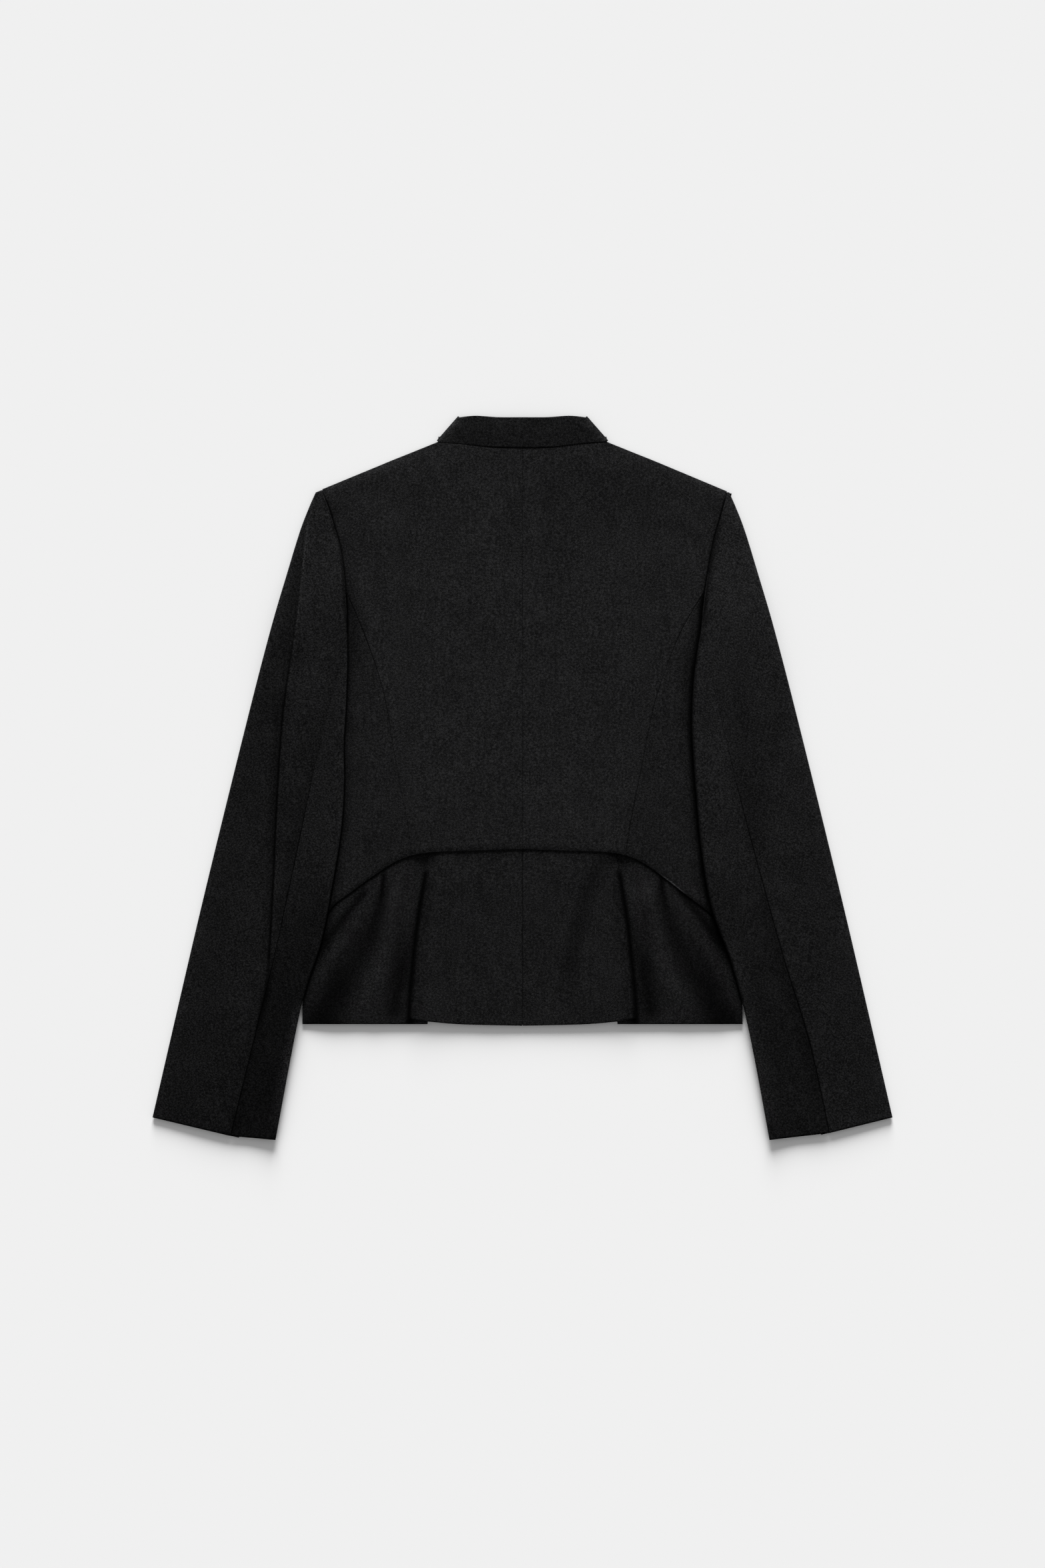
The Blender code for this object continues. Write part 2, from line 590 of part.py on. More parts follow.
# Collar
def make_collar(collection, back_columns=6, front_columns=6, rows=3):
    """Stand collar: one band from the centre front round the back of the neck to the centre front."""
    base_back, top_back = path_through(NECK_SEAM), path_through(COLLAR_TOP_BACK)
    base_front, top_front = path_through(COLLAR_BASE_FRONT), path_through(COLLAR_TOP_FRONT)
    half = back_columns + TURN_STEPS + front_columns
    fold = top_back(1.0) - base_back(1.0)
    outward = np.array([fold[1], -fold[0]]) / np.linalg.norm(fold)
    right = SIDES[0]

    def outer_face(across, up):
        signed = (across - 0.5) * 2 * half
        step, sign = abs(signed), math.copysign(1.0, signed)
        if step <= back_columns:
            share = step / back_columns
            base, top = base_back(share), top_back(share)
            z = mix(bodice_top(base[0], base[1], right), 2 * COLLAR_TURN, share ** 2)
        elif step <= back_columns + TURN_STEPS:
            angle = math.pi * (0.5 - (step - back_columns) / TURN_STEPS)
            shift = outward * COLLAR_TURN * math.cos(angle)
            base, top = base_back(1.0) + shift, top_back(1.0) + shift
            z = COLLAR_TURN * (1 + math.sin(angle))
        else:
            share = (step - back_columns - TURN_STEPS) / front_columns
            base, top = base_front(share), top_front(share)
            base[0], top[0] = max(base[0], SEAM_GAP / 2), max(top[0], SEAM_GAP / 2)
            z = 0.0
        seam = SEAM_GAP / np.linalg.norm(top - base)
        x, y = mix(base, top, mix(seam, 1.0, up))
        return sign * x, y, z

    cloth_panel("collar", collection, 2 * half, rows, outer_face, (0.5, 0.5))


def main():
    for leftover in list(bpy.data.objects):
        bpy.data.objects.remove(leftover, do_unlink=True)
    collection = bpy.data.collections.new("fitted_blazer")
    bpy.context.scene.collection.children.link(collection)
    for side in SIDES:
        make_back(collection, side)
        make_back_side(collection, side)
        make_front(collection, side)
        make_peplum_back(collection, side)
        make_peplum_side(collection, side)
        make_peplum_front(collection, side)
        make_top_sleeve(collection, side)
        make_under_sleeve(collection, side)
    make_collar(collection)


main()
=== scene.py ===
"""Fitted blazer laid flat with its back upward: its cloth, its sewing, the floor, the light and the camera.

Each piece is a thin shell on the form of the solid that it replaces, read on a finer grid, with the rolled
edges, creases and puckers of real cloth added to it. Shade and highlights are painted into its colour by
an attribute that scales it at each place. x runs across the garment from the centre back, y runs up towards
the collar, and z is the height above the floor. Sizes are in metres, and the lines and places of the tables
are in millimetres.
"""
import math
from collections import namedtuple

import bpy
import numpy as np
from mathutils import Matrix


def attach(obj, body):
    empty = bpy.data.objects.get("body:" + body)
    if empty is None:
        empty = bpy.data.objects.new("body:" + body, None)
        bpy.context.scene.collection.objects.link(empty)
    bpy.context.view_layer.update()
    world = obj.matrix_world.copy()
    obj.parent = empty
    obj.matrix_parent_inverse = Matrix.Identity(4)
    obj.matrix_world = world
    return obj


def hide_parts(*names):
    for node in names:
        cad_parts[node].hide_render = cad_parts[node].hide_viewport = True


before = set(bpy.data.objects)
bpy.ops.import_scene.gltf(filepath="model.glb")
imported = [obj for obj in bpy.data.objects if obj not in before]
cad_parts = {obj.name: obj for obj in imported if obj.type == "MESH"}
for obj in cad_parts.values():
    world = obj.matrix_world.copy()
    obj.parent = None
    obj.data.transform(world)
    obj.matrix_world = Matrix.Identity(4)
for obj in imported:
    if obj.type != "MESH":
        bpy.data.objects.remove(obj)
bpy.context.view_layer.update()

# Cloth and its layers, as in the solids
WALL = 0.0015
CLOTH_WALL = 0.0008          # the cloth that shows is thinner than the solids
SEAM_GAP = 0.0004
CENTRE_GAP = 0.00016         # the centre back seam closes more tightly
REST_GAP = 0.0004
FRONT_TOP = WALL
FLANK_TOP = FRONT_TOP + REST_GAP + WALL
BACK_LOFT = 0.0020
PLEAT_RADIUS = 0.0017
PLEAT_TOP = FLANK_TOP + REST_GAP + 2 * PLEAT_RADIUS
PEPLUM_SAG = 0.0022
SLOPE_ROOM = 0.0003
WAIST_TOP_MIDDLE = PLEAT_TOP + REST_GAP + WALL + SLOPE_ROOM
WAIST_TOP_SIDE = FLANK_TOP + REST_GAP + WALL + SLOPE_ROOM

# Plan of the body, as in the solids
WAIST_TUCK = 0.006
WAIST_RUN = 0.050
WAIST_STEP_START = 0.0925
WAIST_STEP_WIDTH = 0.020
LOFT_START = 0.168
LOFT_FULL = 0.085
SHOULDER_ROLL = 0.030
NECK_RISE = 0.358
SPREAD_END = 0.178
SIDE_HEM = -0.2365
FRONT_HEM = -0.2310
FRONT_WAIST = -0.1450
FRONT_NECK_SHARE = 0.98      # share of the collar's base that bounds a front
PRINCESS_TOP = 0.1785
PRINCESS_SHARE = 13 / 17
SIDE_SEAM_SHARE = 7 / 13
SIDE_TOP_DROP = 0.004        # how far a side panel ends below the top of the princess seam
NECK_SHARE = 0.42
SIDE_WAIST = -0.1440
SIDE_INSET = 0.0005          # how far a side peplum stays inside the side seam at the waist
UNDERARM = 0.1120
PLEAT_ROOM = 0.004           # how far a side peplum reaches past the pleat's return at the waist
RETURN_DROP = 0.0012

# Sleeves and collar
SLEEVE_TURN = 0.0022
SLEEVE_TIP_TURN = 0.0017
TURN_LIMIT = 0.45            # largest share of a sleeve's width that its turn takes
SLEEVE_CROWN = 0.0010
SLEEVE_DROP = 0.045
SLEEVE_OVERHANG = 0.012
HEAD_DROP = 0.100            # length over which a sleeve comes down to the shoulder
HEAD_ROLL = 0.004            # width of the sleeve head's rolled edge along the armhole
HEAD_SEAT = 0.0002           # how far the rolled edge stays above the body
HEAD_SHARE = 0.205
HEAD_BELOW = 0.0008          # how far a sleeve head starts below the tip of the shoulder
SLEEVE_HEAD_END = 0.1480
HEAD_ROWS = 8
ARM_ROWS = 13
SLEEVE_CLOSED = 0.15         # share by which a sleeve's seam opens near the underarm
COLLAR_TURN = 0.0018
COLLAR_BULGE = 0.0006
COLLAR_CLOSED = -0.45        # share of its gap that the neck seam keeps where it closes on the left
LOWER_SEAM_SHIFT = 0.008     # the seam beneath a sleeve lies this far inside the one on top
LOWER_SEAM_LIMIT = 0.35      # and at most by this share of the under sleeve's width

Place = namedtuple("Place", "x y")
EdgeRow = namedtuple("EdgeRow", "y x")
WaistRow = namedtuple("WaistRow", "x y")
PleatRow = namedtuple("PleatRow", "y x depth")
LiftRow = namedtuple("LiftRow", "y height")
Side = namedtuple("Side", "name sign spread")
Edges = namedtuple("Edges", "left right low high")
Cut = namedtuple("Cut", "width length area")
Roll = namedtuple("Roll", "depth width")
Shade = namedtuple("Shade", "strength width grow", defaults=(0.0,))
Fold = namedtuple("Fold", "places height left_width right_width start grow fade")


def table(kind, *rows):
    """Table of rows of one kind, given in millimetres."""
    return tuple(kind(*(value / 1000 for value in row)) for row in rows)


def tint(strength, width, *places, start=1.0, grow=0.0, fade=0.0):
    """Painted shade along a line of places, which darkens the cloth's colour. A negative strength paints a
    highlight.

    width is one width for both sides of the line, or a pair for its left and right as seen along it. start is
    the share of the width at the line's start, and grow and fade are the shares of its length over which the
    shade comes and goes.
    """
    left, right = width if isinstance(width, tuple) else (width, width)
    return Fold(table(Place, *places), strength, left / 1000, right / 1000, start, grow, fade)


def crease(height, width, *places, **ends):
    """Fold along a line of places, given like a shade, with its height in millimetres."""
    return tint(height / 1000, width, *places, **ends)


SIDES = (Side("right", 1, 1.0), Side("left", -1, 1.07))

# Outlines and seams of the right side. Those that differ are given for each side by its name.
BODY_EDGE = table(EdgeRow, (-236.5, 211.2), (-220, 211.2), (-170, 203), (-144, 196.5), (-100, 189.5),
    (-60, 188), (30, 205), (115, 223), (126, 222), (133, 198), (143, 180), (155, 172.5), (178.5, 173.8),
    (220, 177), (247, 183.5), (275.2, 192.2))
ARMHOLE_SCOOP = table(Place, (172.5, 155), (180, 143), (198, 133), (222, 126))
WAIST_SEAM = table(WaistRow, (0, -68.5), (40.8, -70), (74.2, -71), (91.5, -72.8), (111, -79.3),
    (135.5, -95.7), (156, -111.7), (177.5, -128), (196.5, -144))
PRINCESS_SEAM = table(EdgeRow, (-74, 99), (-40.4, 104.3), (26.6, 117.6), (68.2, 126.1), (102.7, 137),
    (141.8, 153), (178.5, 173.6))
NECK_SEAM = table(Place, (0, 315.8), (30, 316.6), (56, 319.6), (81.2, 322.2))
SHOULDER_SEAM = table(Place, (81.2, 322.2), (105, 312.6), (138, 299.2), (192.2, 275.2))
HEM_MIDDLE = table(WaistRow, (0, -238), (55, -236.8), (90, -234), (110, -230.8))
PLEATS = table(PleatRow, (-240, 109.1, 18), (-209.6, 107.6, 15), (-182, 105, 12.5), (-152, 101.8, 10),
    (-121, 97.6, 7.5), (-65, 88.5, 5))
SLEEVE_LIFT = table(LiftRow, (-260, 4), (-230, 4.8), (-190, 5.5), (-160, 6.2), (-105, 6.2), (-60, 4.4),
    (60, 4.4), (160, 4.7))
SLEEVE_OUTER = table(Place, (198.6, 273.6), (205, 259), (213.6, 236.5), (225.9, 196.2), (242.6, 138.6),
    (267.5, 42.6), (309.8, -130.2), (355.2, -326))
SLEEVE_INNER = {
    "right": table(Place, (170.6, 138), (167.7, 120.4), (164.1, 91), (162.6, 54.2), (164.1, 17.5),
        (167, -20), (171.5, -68), (181, -124), (200.6, -179), (217.6, -245), (237, -347.5)),
    "left": table(Place, (168.2, 138), (168.1, 105.6), (169.5, 65.6), (171.5, 29), (171.2, -8.6),
        (174, -50), (182, -101), (193.3, -158.4), (212.5, -220.5), (237, -347.5)),
}
SLEEVE_SEAM = {
    "right": table(Place, (170.8, 138), (186, 76), (202, 7), (222.3, -71.7), (249.6, -169.9),
        (276.1, -257), (294.4, -341)),
    "left": table(Place, (168.4, 138), (183.5, 76), (200, 7), (217.2, -75), (238.5, -174),
        (257.7, -252.3), (280, -343.8)),
}
# How far each armhole lies outside the line of the solids, which is the same on both sides
ARMHOLE_SHIFT = {
    "right": table(EdgeRow, (130, 0), (155, 0), (173.6, 0.6), (197.5, 2.8), (223.2, 5), (250.8, 5.4),
        (275.2, 4.2)),
    "left": table(EdgeRow, (130, 0), (155, -4), (171.7, -4.4), (204.8, -3.8), (215.8, -3), (237.9, -1.8),
        (256.3, -1.6), (275.2, 0)),
}
PLEAT_HEAD = Place(0.0900, -0.0790)
PLEAT_DIP = 0.0008           # how far the cloth dips at the head of a pleat
PLEAT_DIP_STRETCH = 0.7
SHOULDER_TIP = {"right": Place(0.1963, 0.2748), "left": Place(0.1922, 0.2768)}
COLLAR_TOP_BACK = table(Place, (0, 345.8), (24, 345.9), (45, 347.3), (60.5, 345.8))
COLLAR_BASE_FRONT = table(Place, (81.2, 322.2), (77, 293), (56, 256), (0, 236))
COLLAR_TOP_FRONT = table(Place, (60.5, 345.8), (52, 305), (38, 279), (0, 264))

# Folds, and shade and highlights painted into the cloth's colour, given in the garment's own left and
# right. The painted shade darkens the cloth where shade falls, in hollows, along creases and beside
# other layers.
# Painted shade by the shoulder tips and armholes, a painted highlight on the left shoulder, and light and
# dark columns
BACK_SHADES = (
    tint(0.24, 11, (-189, 269), (-178, 248), grow=0.3, fade=0.4),
    tint(0.14, 10, (190, 268), (180, 256), grow=0.3, fade=0.4),
    tint(0.36, (15, 13), (-173.5, 208), (-166, 174), (-159, 130), (-162, 85), grow=0.25, fade=0.4),
    tint(0.16, 12, (168, 150), (158, 100), (154, 30), grow=0.3, fade=0.4),
    tint(0.15, 50, (30, 245), (90, 285), (145, 265), grow=0.2, fade=0.2),
    tint(-0.22, 7, (-100, 310), (-125, 300), (-155, 287), grow=0.3, fade=0.3),
    tint(-0.09, (16, 18), (-30, 305), (-33, 230), (-38, 130), grow=0.2, fade=0.5),
    tint(0.1, (16, 14), (25, 305), (27, 230), (24, 150), grow=0.2, fade=0.5),
    tint(-0.11, 14, (56, 300), (55, 240), (60, 170), grow=0.2, fade=0.5),
)
BACK_FOLDS = (
    crease(-1, (24, 18), (-164, 238), (-150, 190), (-142, 135), grow=0.3, fade=0.5),
    crease(-1, (18, 22), (127, 250), (148, 233), (170, 215), grow=0.4, fade=0.2),
    crease(-0.7, 20, (-148, 288), (-133, 262), grow=0.4, fade=0.4),
    crease(0.6, (22, 20), (121, 220), (124, 170), grow=0.4, fade=0.4),
    crease(0.6, 30, (-56, 290), (-60, 220), (-52, 140), grow=0.4, fade=0.45),
    crease(-0.5, 30, (66, 285), (60, 220), (64, 150), grow=0.4, fade=0.45),
    crease(-0.6, 18, (-50, -15), (-64, -56), grow=0.45, fade=0.35),
    crease(-0.6, 18, (46, -5), (62, -52), grow=0.45, fade=0.35),
    crease(0.5, 18, (-145, 50), (-133, -25), (-128, -70), grow=0.4, fade=0.35),
    crease(0.5, 18, (142, 45), (133, -20), (130, -65), grow=0.4, fade=0.35),
)
LEFT_CREASE = ((-205.8, 256), (-207, 243), (-210.4, 210.4), (-217.9, 141.8), (-229.1, 63.4),
    (-235.1, -19.9), (-239.4, -113), (-242.4, -165), (-244, -190))
SLEEVE_FOLDS = {
    "left": (
        crease(2.3, (34, 4), *LEFT_CREASE, grow=0.2, fade=0.3),
        crease(-0.6, 14, (-220, 205), (-233, 130), (-248, 50), (-256, -30), grow=0.3, fade=0.4),
        crease(-0.6, (20, 16), (-270, -145), (-254, -175), (-242, -185), grow=0.4, fade=0.4),
        crease(-0.5, 22, (-316, -250), (-295, -275), grow=0.4, fade=0.4),
    ),
    "right": (
        crease(-0.9, (22, 16), (200, 30), (216, -35), (238, -105), grow=0.35, fade=0.4),
        crease(0.6, 20, (223, 170), (233, 100), (248, 20), grow=0.35, fade=0.45),
        crease(-0.5, 18, (265, -70), (250, -100), (241, -115), grow=0.4, fade=0.4),
        crease(-0.6, 12, (190, 60), (185, 0), (193, -70), grow=0.35, fade=0.4),
    ),
}
# Painted shade along the left sleeve's crease and the seams, and painted highlights where the strength is
# negative
SLEEVE_SHADES = {
    "left": (
        tint(0.92, (1.2, 2.6), *LEFT_CREASE, grow=0.5, fade=0.05),
        tint(0.3, (1.2, 13), *LEFT_CREASE, grow=0.05, fade=0.1),
        tint(0.24, 14, (-215, 215), (-227, 150), (-240, 85), grow=0.3, fade=0.4),
        tint(0.72, (7.5, 3), (-241.5, -150), (-244.3, -190), (-252, -227), (-263, -273), grow=0.4,
            fade=0.5),
        tint(-0.22, (5, 0.4), *LEFT_CREASE, grow=0.05, fade=0.5),
        tint(-0.65, (2.2, 0.6), *LEFT_CREASE[:5], grow=0.1, fade=0.45),
        tint(-0.26, (22, 20), (-190, 150), (-200, 90), (-212, 30), grow=0.3, fade=0.4),
        tint(-0.16, (14, 12), (-213, 130), (-218, 60), (-225, -20), grow=0.3, fade=0.4),
        tint(0.18, (10, 20), (-242, -175), (-257.7, -252.3), (-280, -343.8), grow=0.25),
        tint(0.24, (1.5, 13), (-187, 62), (-200, 7), (-217.2, -75), (-238.5, -174), grow=0.4, fade=0.3),
        tint(0.42, (1.8, 1.2), (-243, -193), (-257.7, -252.3), (-280, -343.8), grow=0.1),
        tint(0.16, 17, (-287.5, -236), (-290.5, -262), (-296.5, -286), grow=0.4, fade=0.4),
        tint(-1.6, 12, (-208, -206), (-215, -233), (-227, -295), (-237, -347.5), grow=0.3, fade=0.3),
    ),
    "right": (
        tint(0.22, (20, 12), (196, 30), (215, -40), (238, -125), grow=0.35, fade=0.4),
        tint(0.2, (22, 15), (202, 130), (206, 80), (216, 25), (227, -40), grow=0.3, fade=0.4),
        tint(0.12, (14, 1.2), (180, 101), (186, 76), (202, 7), (213, -35), grow=0.3, fade=0.4),
        tint(-0.58, 20, (187, -140), (200.6, -179), (217.6, -245), (237, -347.5), grow=0.2, fade=0.15),
        tint(0.34, 1.4, (249.6, -169.9), (276.1, -257), (294.4, -341), grow=0.3),
        tint(0.36, (3, 17), (222.3, -71.7), (249.6, -169.9), (276.1, -257), (294.4, -341), grow=0.3,
            fade=0.3),
    ),
}
# Painted shade of soft hollows in the peplum's middle
PEPLUM_HOLLOW_SHADES = (
    tint(0.36, (17, 14), (81, -72), (69, -92), (59.5, -118), (50, -156), (43, -195), (38.5, -235),
        start=0.9, grow=0.06, fade=0.35),
    tint(0.12, 14, (-76, -90), (-70, -150), (-72, -230), start=0.7, grow=0.3, fade=0.3),
    tint(0.2, 4, (-40, -74), (-40, -100), (-40.5, -132), grow=0.1, fade=0.4),
)
# Soft folds that fan out from the waist seam, and the shade painted along them, given for the right side
# and mirrored for the left
PEPLUM_FOLDS = (
    crease(4.2, 19, (120, -90), (121.5, -120.5), (128, -157.5), (138.5, -200), (154, -240), start=0.4,
        grow=0.22, fade=0.35),
    crease(0.8, (10, 11), (140, -102), (149, -122), (163.5, -151), (178.5, -174), (193.5, -196),
        (208, -218), start=0.5, grow=0.22, fade=0.4),
)
PLEAT_LINE = ((91.5, -85), (97.6, -121), (101.8, -152), (105, -182), (107.6, -209.6), (109.2, -240))
# Painted shade along the pleat's edge, in the valleys between the folds, in the corner and along the hem
PEPLUM_SHADES = (
    tint(0.92, (5.2, 10), *PLEAT_LINE, start=0.9, grow=0.05),
    tint(0.44, (14, 4), *PLEAT_LINE, start=0.3, grow=0.25),
    tint(0.74, (18, 14), (104, -110), (108.5, -140), (117.8, -194.5), (125.5, -240), start=0.6, grow=0.6,
        fade=0.12),
    tint(0.64, (36, 45), (133.2, -93), (135.2, -113), (143.5, -142.5), (158.5, -172), (178, -204),
        (195, -240), start=0.1),
    tint(0.5, 3, (133, -92), (133.8, -101), (135.2, -113), (138.5, -129), start=0.7, fade=0.6),
    tint(0.72, (11, 10), (147, -103.5), (160, -120), (171.5, -134.5), (189.5, -160.3), (200, -182),
        start=0.6, grow=0.1, fade=0.3),
    tint(0.22, (20, 14), (142, -105), (156, -133), (175, -170), (196, -205), start=0.4, grow=0.15,
        fade=0.3),
    tint(0.46, (22, 26), (158.5, -172), (179, -204), (198, -240), start=0.6, grow=0.5),
    tint(0.14, 22, (176, -242), (214, -235), grow=0.3),
    tint(0.18, 10, (110, -239), (212, -238), fade=0.3),
)
# Painted shade at the head of each pleat and along its edge, on the pleated middle
PLEAT_SHADES = (
    tint(0.42, (7, 14), (88.5, -73.5), (92.5, -90), fade=0.7),
    tint(0.84, (4, 4.4), *PLEAT_LINE, start=0.9, grow=0.05),
    tint(0.34, (4, 17), *PLEAT_LINE, start=0.9, grow=0.05),
)

# Shade painted on the cloth beside an edge or a seam, where a layer on top casts its shadow
SLEEVE_CAST_HEIGHTS = (0.1900, 0.1600)
SLEEVE_CAST = {
    "right": (Shade(0.95, 0.0062), Shade(0.36, 0.016)),
    "left": (Shade(0.95, 0.0024), Shade(0.36, 0.012)),
}
ARMHOLE_SHADES = {
    "right": (Shade(0.85, 0.0020, 0.15), Shade(0.15, 0.010, 0.10)),
    "left": (Shade(0.60, 0.0020, 0.15), Shade(0.15, 0.010, 0.10)),
}
HEAD_SHADE = {"right": Shade(0.64, 0.0068), "left": Shade(0.42, 0.0036)}
WAIST_SHADES = {
    "back": (Shade(0.50, 0.0020), Shade(0.10, 0.008)),
    "side": (Shade(0.80, 0.0025), Shade(0.10, 0.008)),
}
HEM_CAST = (Shade(0.85, 0.0028),)    # of the sleeve near the side peplum's hem
# Painted highlight where the turned edge catches the light on one stretch of the right waist seam
SLIVER_LIGHT = 6.0
SLIVER_MIDDLE = 0.1440
SLIVER_REACH = 0.0150
# Painted shade along the centre back seam and along the neck seam, on the back and on the collar
CENTRE_SHADE = Shade(0.15, 0.0010)
NECK_SHADE = Shade(0.60, 0.0018)
# Half width at which the neck seam's shade ends on the back, and share of the collar's back where it ends
NECK_SHADE_END = {"right": 0.090, "left": 0.066}
COLLAR_SHADE_END = {"right": 1.1, "left": 0.75}
# Painted highlight on each end of the collar, where it turns round the neck
COLLAR_LIGHT = {"right": 0.66, "left": 0.55}
COLLAR_LIGHT_SPAN = (1.5, 0.8)   # share of that light at the neck seam and at the top edge
# Painted highlight on each under sleeve's folded edge, beside the body and below its hem. A negative
# value paints shade there instead, as beside the body on the right.
RIM_LIGHT = {"right": -0.55, "left": 0.30}
LOW_RIM_LIGHT = 0.45

# Rows of a height and how light each piece is painted there, against the material: partly the panel's
# own tone where its grain lies another way, partly painted light that is mostly brighter towards the top.
TONES = {
    "back": ((-0.08, 1.0), (0.0, 1.02), (0.24, 1.06), (0.33, 1.04)),
    "back_side": ((-0.15, 0.86), (0.04, 0.92), (0.18, 1.03)),
    "front": ((-0.15, 0.86), (0.18, 0.94)),
    "collar": ((0.23, 0.72), (0.35, 0.72)),
    "peplum_back": ((-0.24, 0.84), (-0.06, 0.89)),
    "peplum_side": ((-0.24, 0.9), (-0.06, 0.9)),
    "peplum_front": ((-0.24, 0.8), (-0.06, 0.84)),
    "top_sleeve_left": ((-0.35, 0.47), (-0.2, 0.65), (0.05, 0.67), (0.22, 0.92)),
    "top_sleeve_right": ((-0.35, 0.7), (-0.2, 0.74), (0.03, 0.88), (0.22, 1.06)),
    "under_sleeve_left": ((-0.35, 0.29), (-0.15, 0.46), (-0.03, 0.78), (0.08, 0.82), (0.14, 0.9)),
    "under_sleeve_right": ((-0.35, 0.49), (-0.15, 0.62), (-0.03, 0.9), (0.14, 1.06)),
}
# Rows of a height and the share by which each princess seam opens there
PRINCESS_OPENED = {
    "right": ((-0.08, 1.0), (0.07, 1.0), (0.095, 0.45), (0.115, 0.45), (0.135, 1.0), (0.18, 1.0)),
    "left": ((-0.08, 0.35), (0.01, 0.4), (0.05, 0.8), (0.09, 1.0), (0.18, 1.0)),
}
# Sewing and rolled edges
EDGE_LINES = (0.0003, 0.0007, 0.0012, 0.0020, 0.0032)
TURN_LINES = 10
STITCH_START = 0.004         # how far above the waist seam the centre back's stitches start
STITCH_STOP = 0.002          # and how far below the neck seam they stop
STITCH_PITCH = 0.0024
STITCH_DEPTH = 0.0006        # how far the stitches lie in the seam
STITCH_LENGTH = 0.0012
STITCH_THICKNESS = 0.00030
STITCH_SIDES = 6
STITCH_PROFILE = ((-0.5, 0.2), (-0.35, 0.5), (0.35, 0.5), (0.5, 0.2))
ALLOWANCE = 0.010            # width of the pressed seam allowances
ALLOWANCE_WALL = 0.0003
# painted shade of the allowances, which show dark in the seam gaps
ALLOWANCE_SHADE = 0.5
ALLOWANCE_DROP = 0.0002      # how far their middle lies under the panels
ALLOWANCE_ROOM = 0.001       # how far they end before the end of a seam
ARMHOLE_LOW = 0.1450
SEAM_ROLL = Roll(0.0005, 0.0011)
CENTRE_ROLL = Roll(0.0003, 0.0011)
HEM_ROLL = Roll(0.0006, 0.0013)
WAIST_ROLL = Roll(0.0009, 0.006)
SIDE_HEM_LIFT = 0.0016       # how far the hem of the side peplum stands up
SHOULDER_TURN = Roll(0.0016, 0.008)

# Wool. The flecks are fine, middle and coarse, and a stop is a place on the ramp with its level.
FLECK_SCALES = (2400.0, 1050.0, 620.0)
TWILL_PITCH = 0.00125
GRAIN_STOPS = ((-0.120, 0.0029), (0.0, 0.0088), (0.135, 0.0251))
COOLNESS = 1.03              # how far blue exceeds red and green in the dark cloth

# Floor, light and camera
FLOOR_REACH = 12.0
FLOOR_DROP = 0.0004
SKY = 0.36
SUN = 5.79
SUN_BREADTH = 30.0           # degrees
SUN_HEIGHT = 20.0            # degrees above the floor
CAMERA_HEIGHT = 6.0
CAMERA_Y = -0.00608
SENSOR = 36.0
PHOTO_ROWS = 2352
PIXEL = 0.00064              # size of one of the photo's pixels on the garment


def ease(value):
    """Smooth step from 0 to 1."""
    value = np.clip(value, 0.0, 1.0)
    return value * value * (3.0 - 2.0 * value)


def mix(start, end, share):
    return start + (end - start) * share


def ramp(value, start, run):
    """Smooth step from 0 at a start to 1 a run further on. A negative run goes the other way."""
    return ease((value - start) / run)


def bell(away, width):
    """Smooth bump: 1 in its middle and 0 from a width away."""
    return np.clip(1.0 - (away / width) ** 2, 0.0, None) ** 2


def dimmed(away, strength, width, at=0.0):
    """Share of colour a painted shade around a distance leaves. A negative strength paints a highlight."""
    return 1.0 - strength * bell(away - at, width)


def read_table(rows, at, column=1):
    """Values of a column at keys, on a smooth curve through the rows that never overshoots them."""
    keys = np.array([row[0] for row in rows])
    values = np.array([row[column] for row in rows])
    spans, rises = np.diff(keys), np.diff(values)
    slopes = rises / spans
    before, after = slopes[:-1], slopes[1:]
    total = np.where(before * after > 0, before + after, 1.0)
    inner = np.where(before * after > 0, 2.0 * before * after / total, 0.0)
    tangents = np.concatenate([slopes[:1], inner, slopes[-1:]])
    at = np.clip(at, keys[0], keys[-1])
    i = np.clip(np.searchsorted(keys, at, side="right") - 1, 0, len(slopes) - 1)
    t = (at - keys[i]) / spans[i]
    lead = (1 - t) * (spans[i] * tangents[i] - rises[i]) - t * (spans[i] * tangents[i + 1] - rises[i])
    return values[i] + rises[i] * t + t * (1 - t) * lead


def path_through(places, steps=24):
    """Smooth path through plan places, read by shares of its length."""
    points = np.array(places, float)
    padded = np.vstack([points[:1], points, points[-1:]])
    t = (np.arange(steps) / steps)[:, None]
    dense = []
    for before, start, end, after in zip(padded, padded[1:], padded[2:], padded[3:]):
        bend = (2 * before - 5 * start + 4 * end - after) * t * t
        turn = (3 * start - 3 * end + after - before) * t ** 3
        dense.append(start + 0.5 * ((end - before) * t + bend + turn))
    dense = np.vstack(dense + [points[-1:]])
    run = np.concatenate([[0.0], np.cumsum(np.linalg.norm(np.diff(dense, axis=0), axis=1))])

    def at(share):
        reach = np.asarray(share, float) * run[-1]
        return np.stack([np.interp(reach, run, dense[:, axis]) for axis in (0, 1)], -1)

    return at


def beside(path, distance, opened=lambda places: 1.0, step=0.004):
    """The same path moved to its left by a distance, times the share opened at each of its places."""
    def at(share):
        share = np.asarray(share, float)
        ahead = path(np.minimum(share + step, 1.0)) - path(np.maximum(share - step, 0.0))
        ahead /= np.linalg.norm(ahead, axis=-1, keepdims=True)
        places = path(share)
        apart = distance * np.asarray(opened(places))[..., None]
        return places + apart * np.stack([-ahead[..., 1], ahead[..., 0]], -1)

    return at


def straight(start, end):
    start, end = np.array(start, float), np.array(end, float)
    return lambda share: mix(start, end, np.asarray(share, float)[..., None])


def joined(first, second, share):
    """Two paths read one after the other, the first up to a share of the whole."""
    def at(along):
        along = np.asarray(along, float)
        late = (along - share) / (1.0 - share)
        return np.where((along < share)[..., None], first(along / share), second(late))

    return at


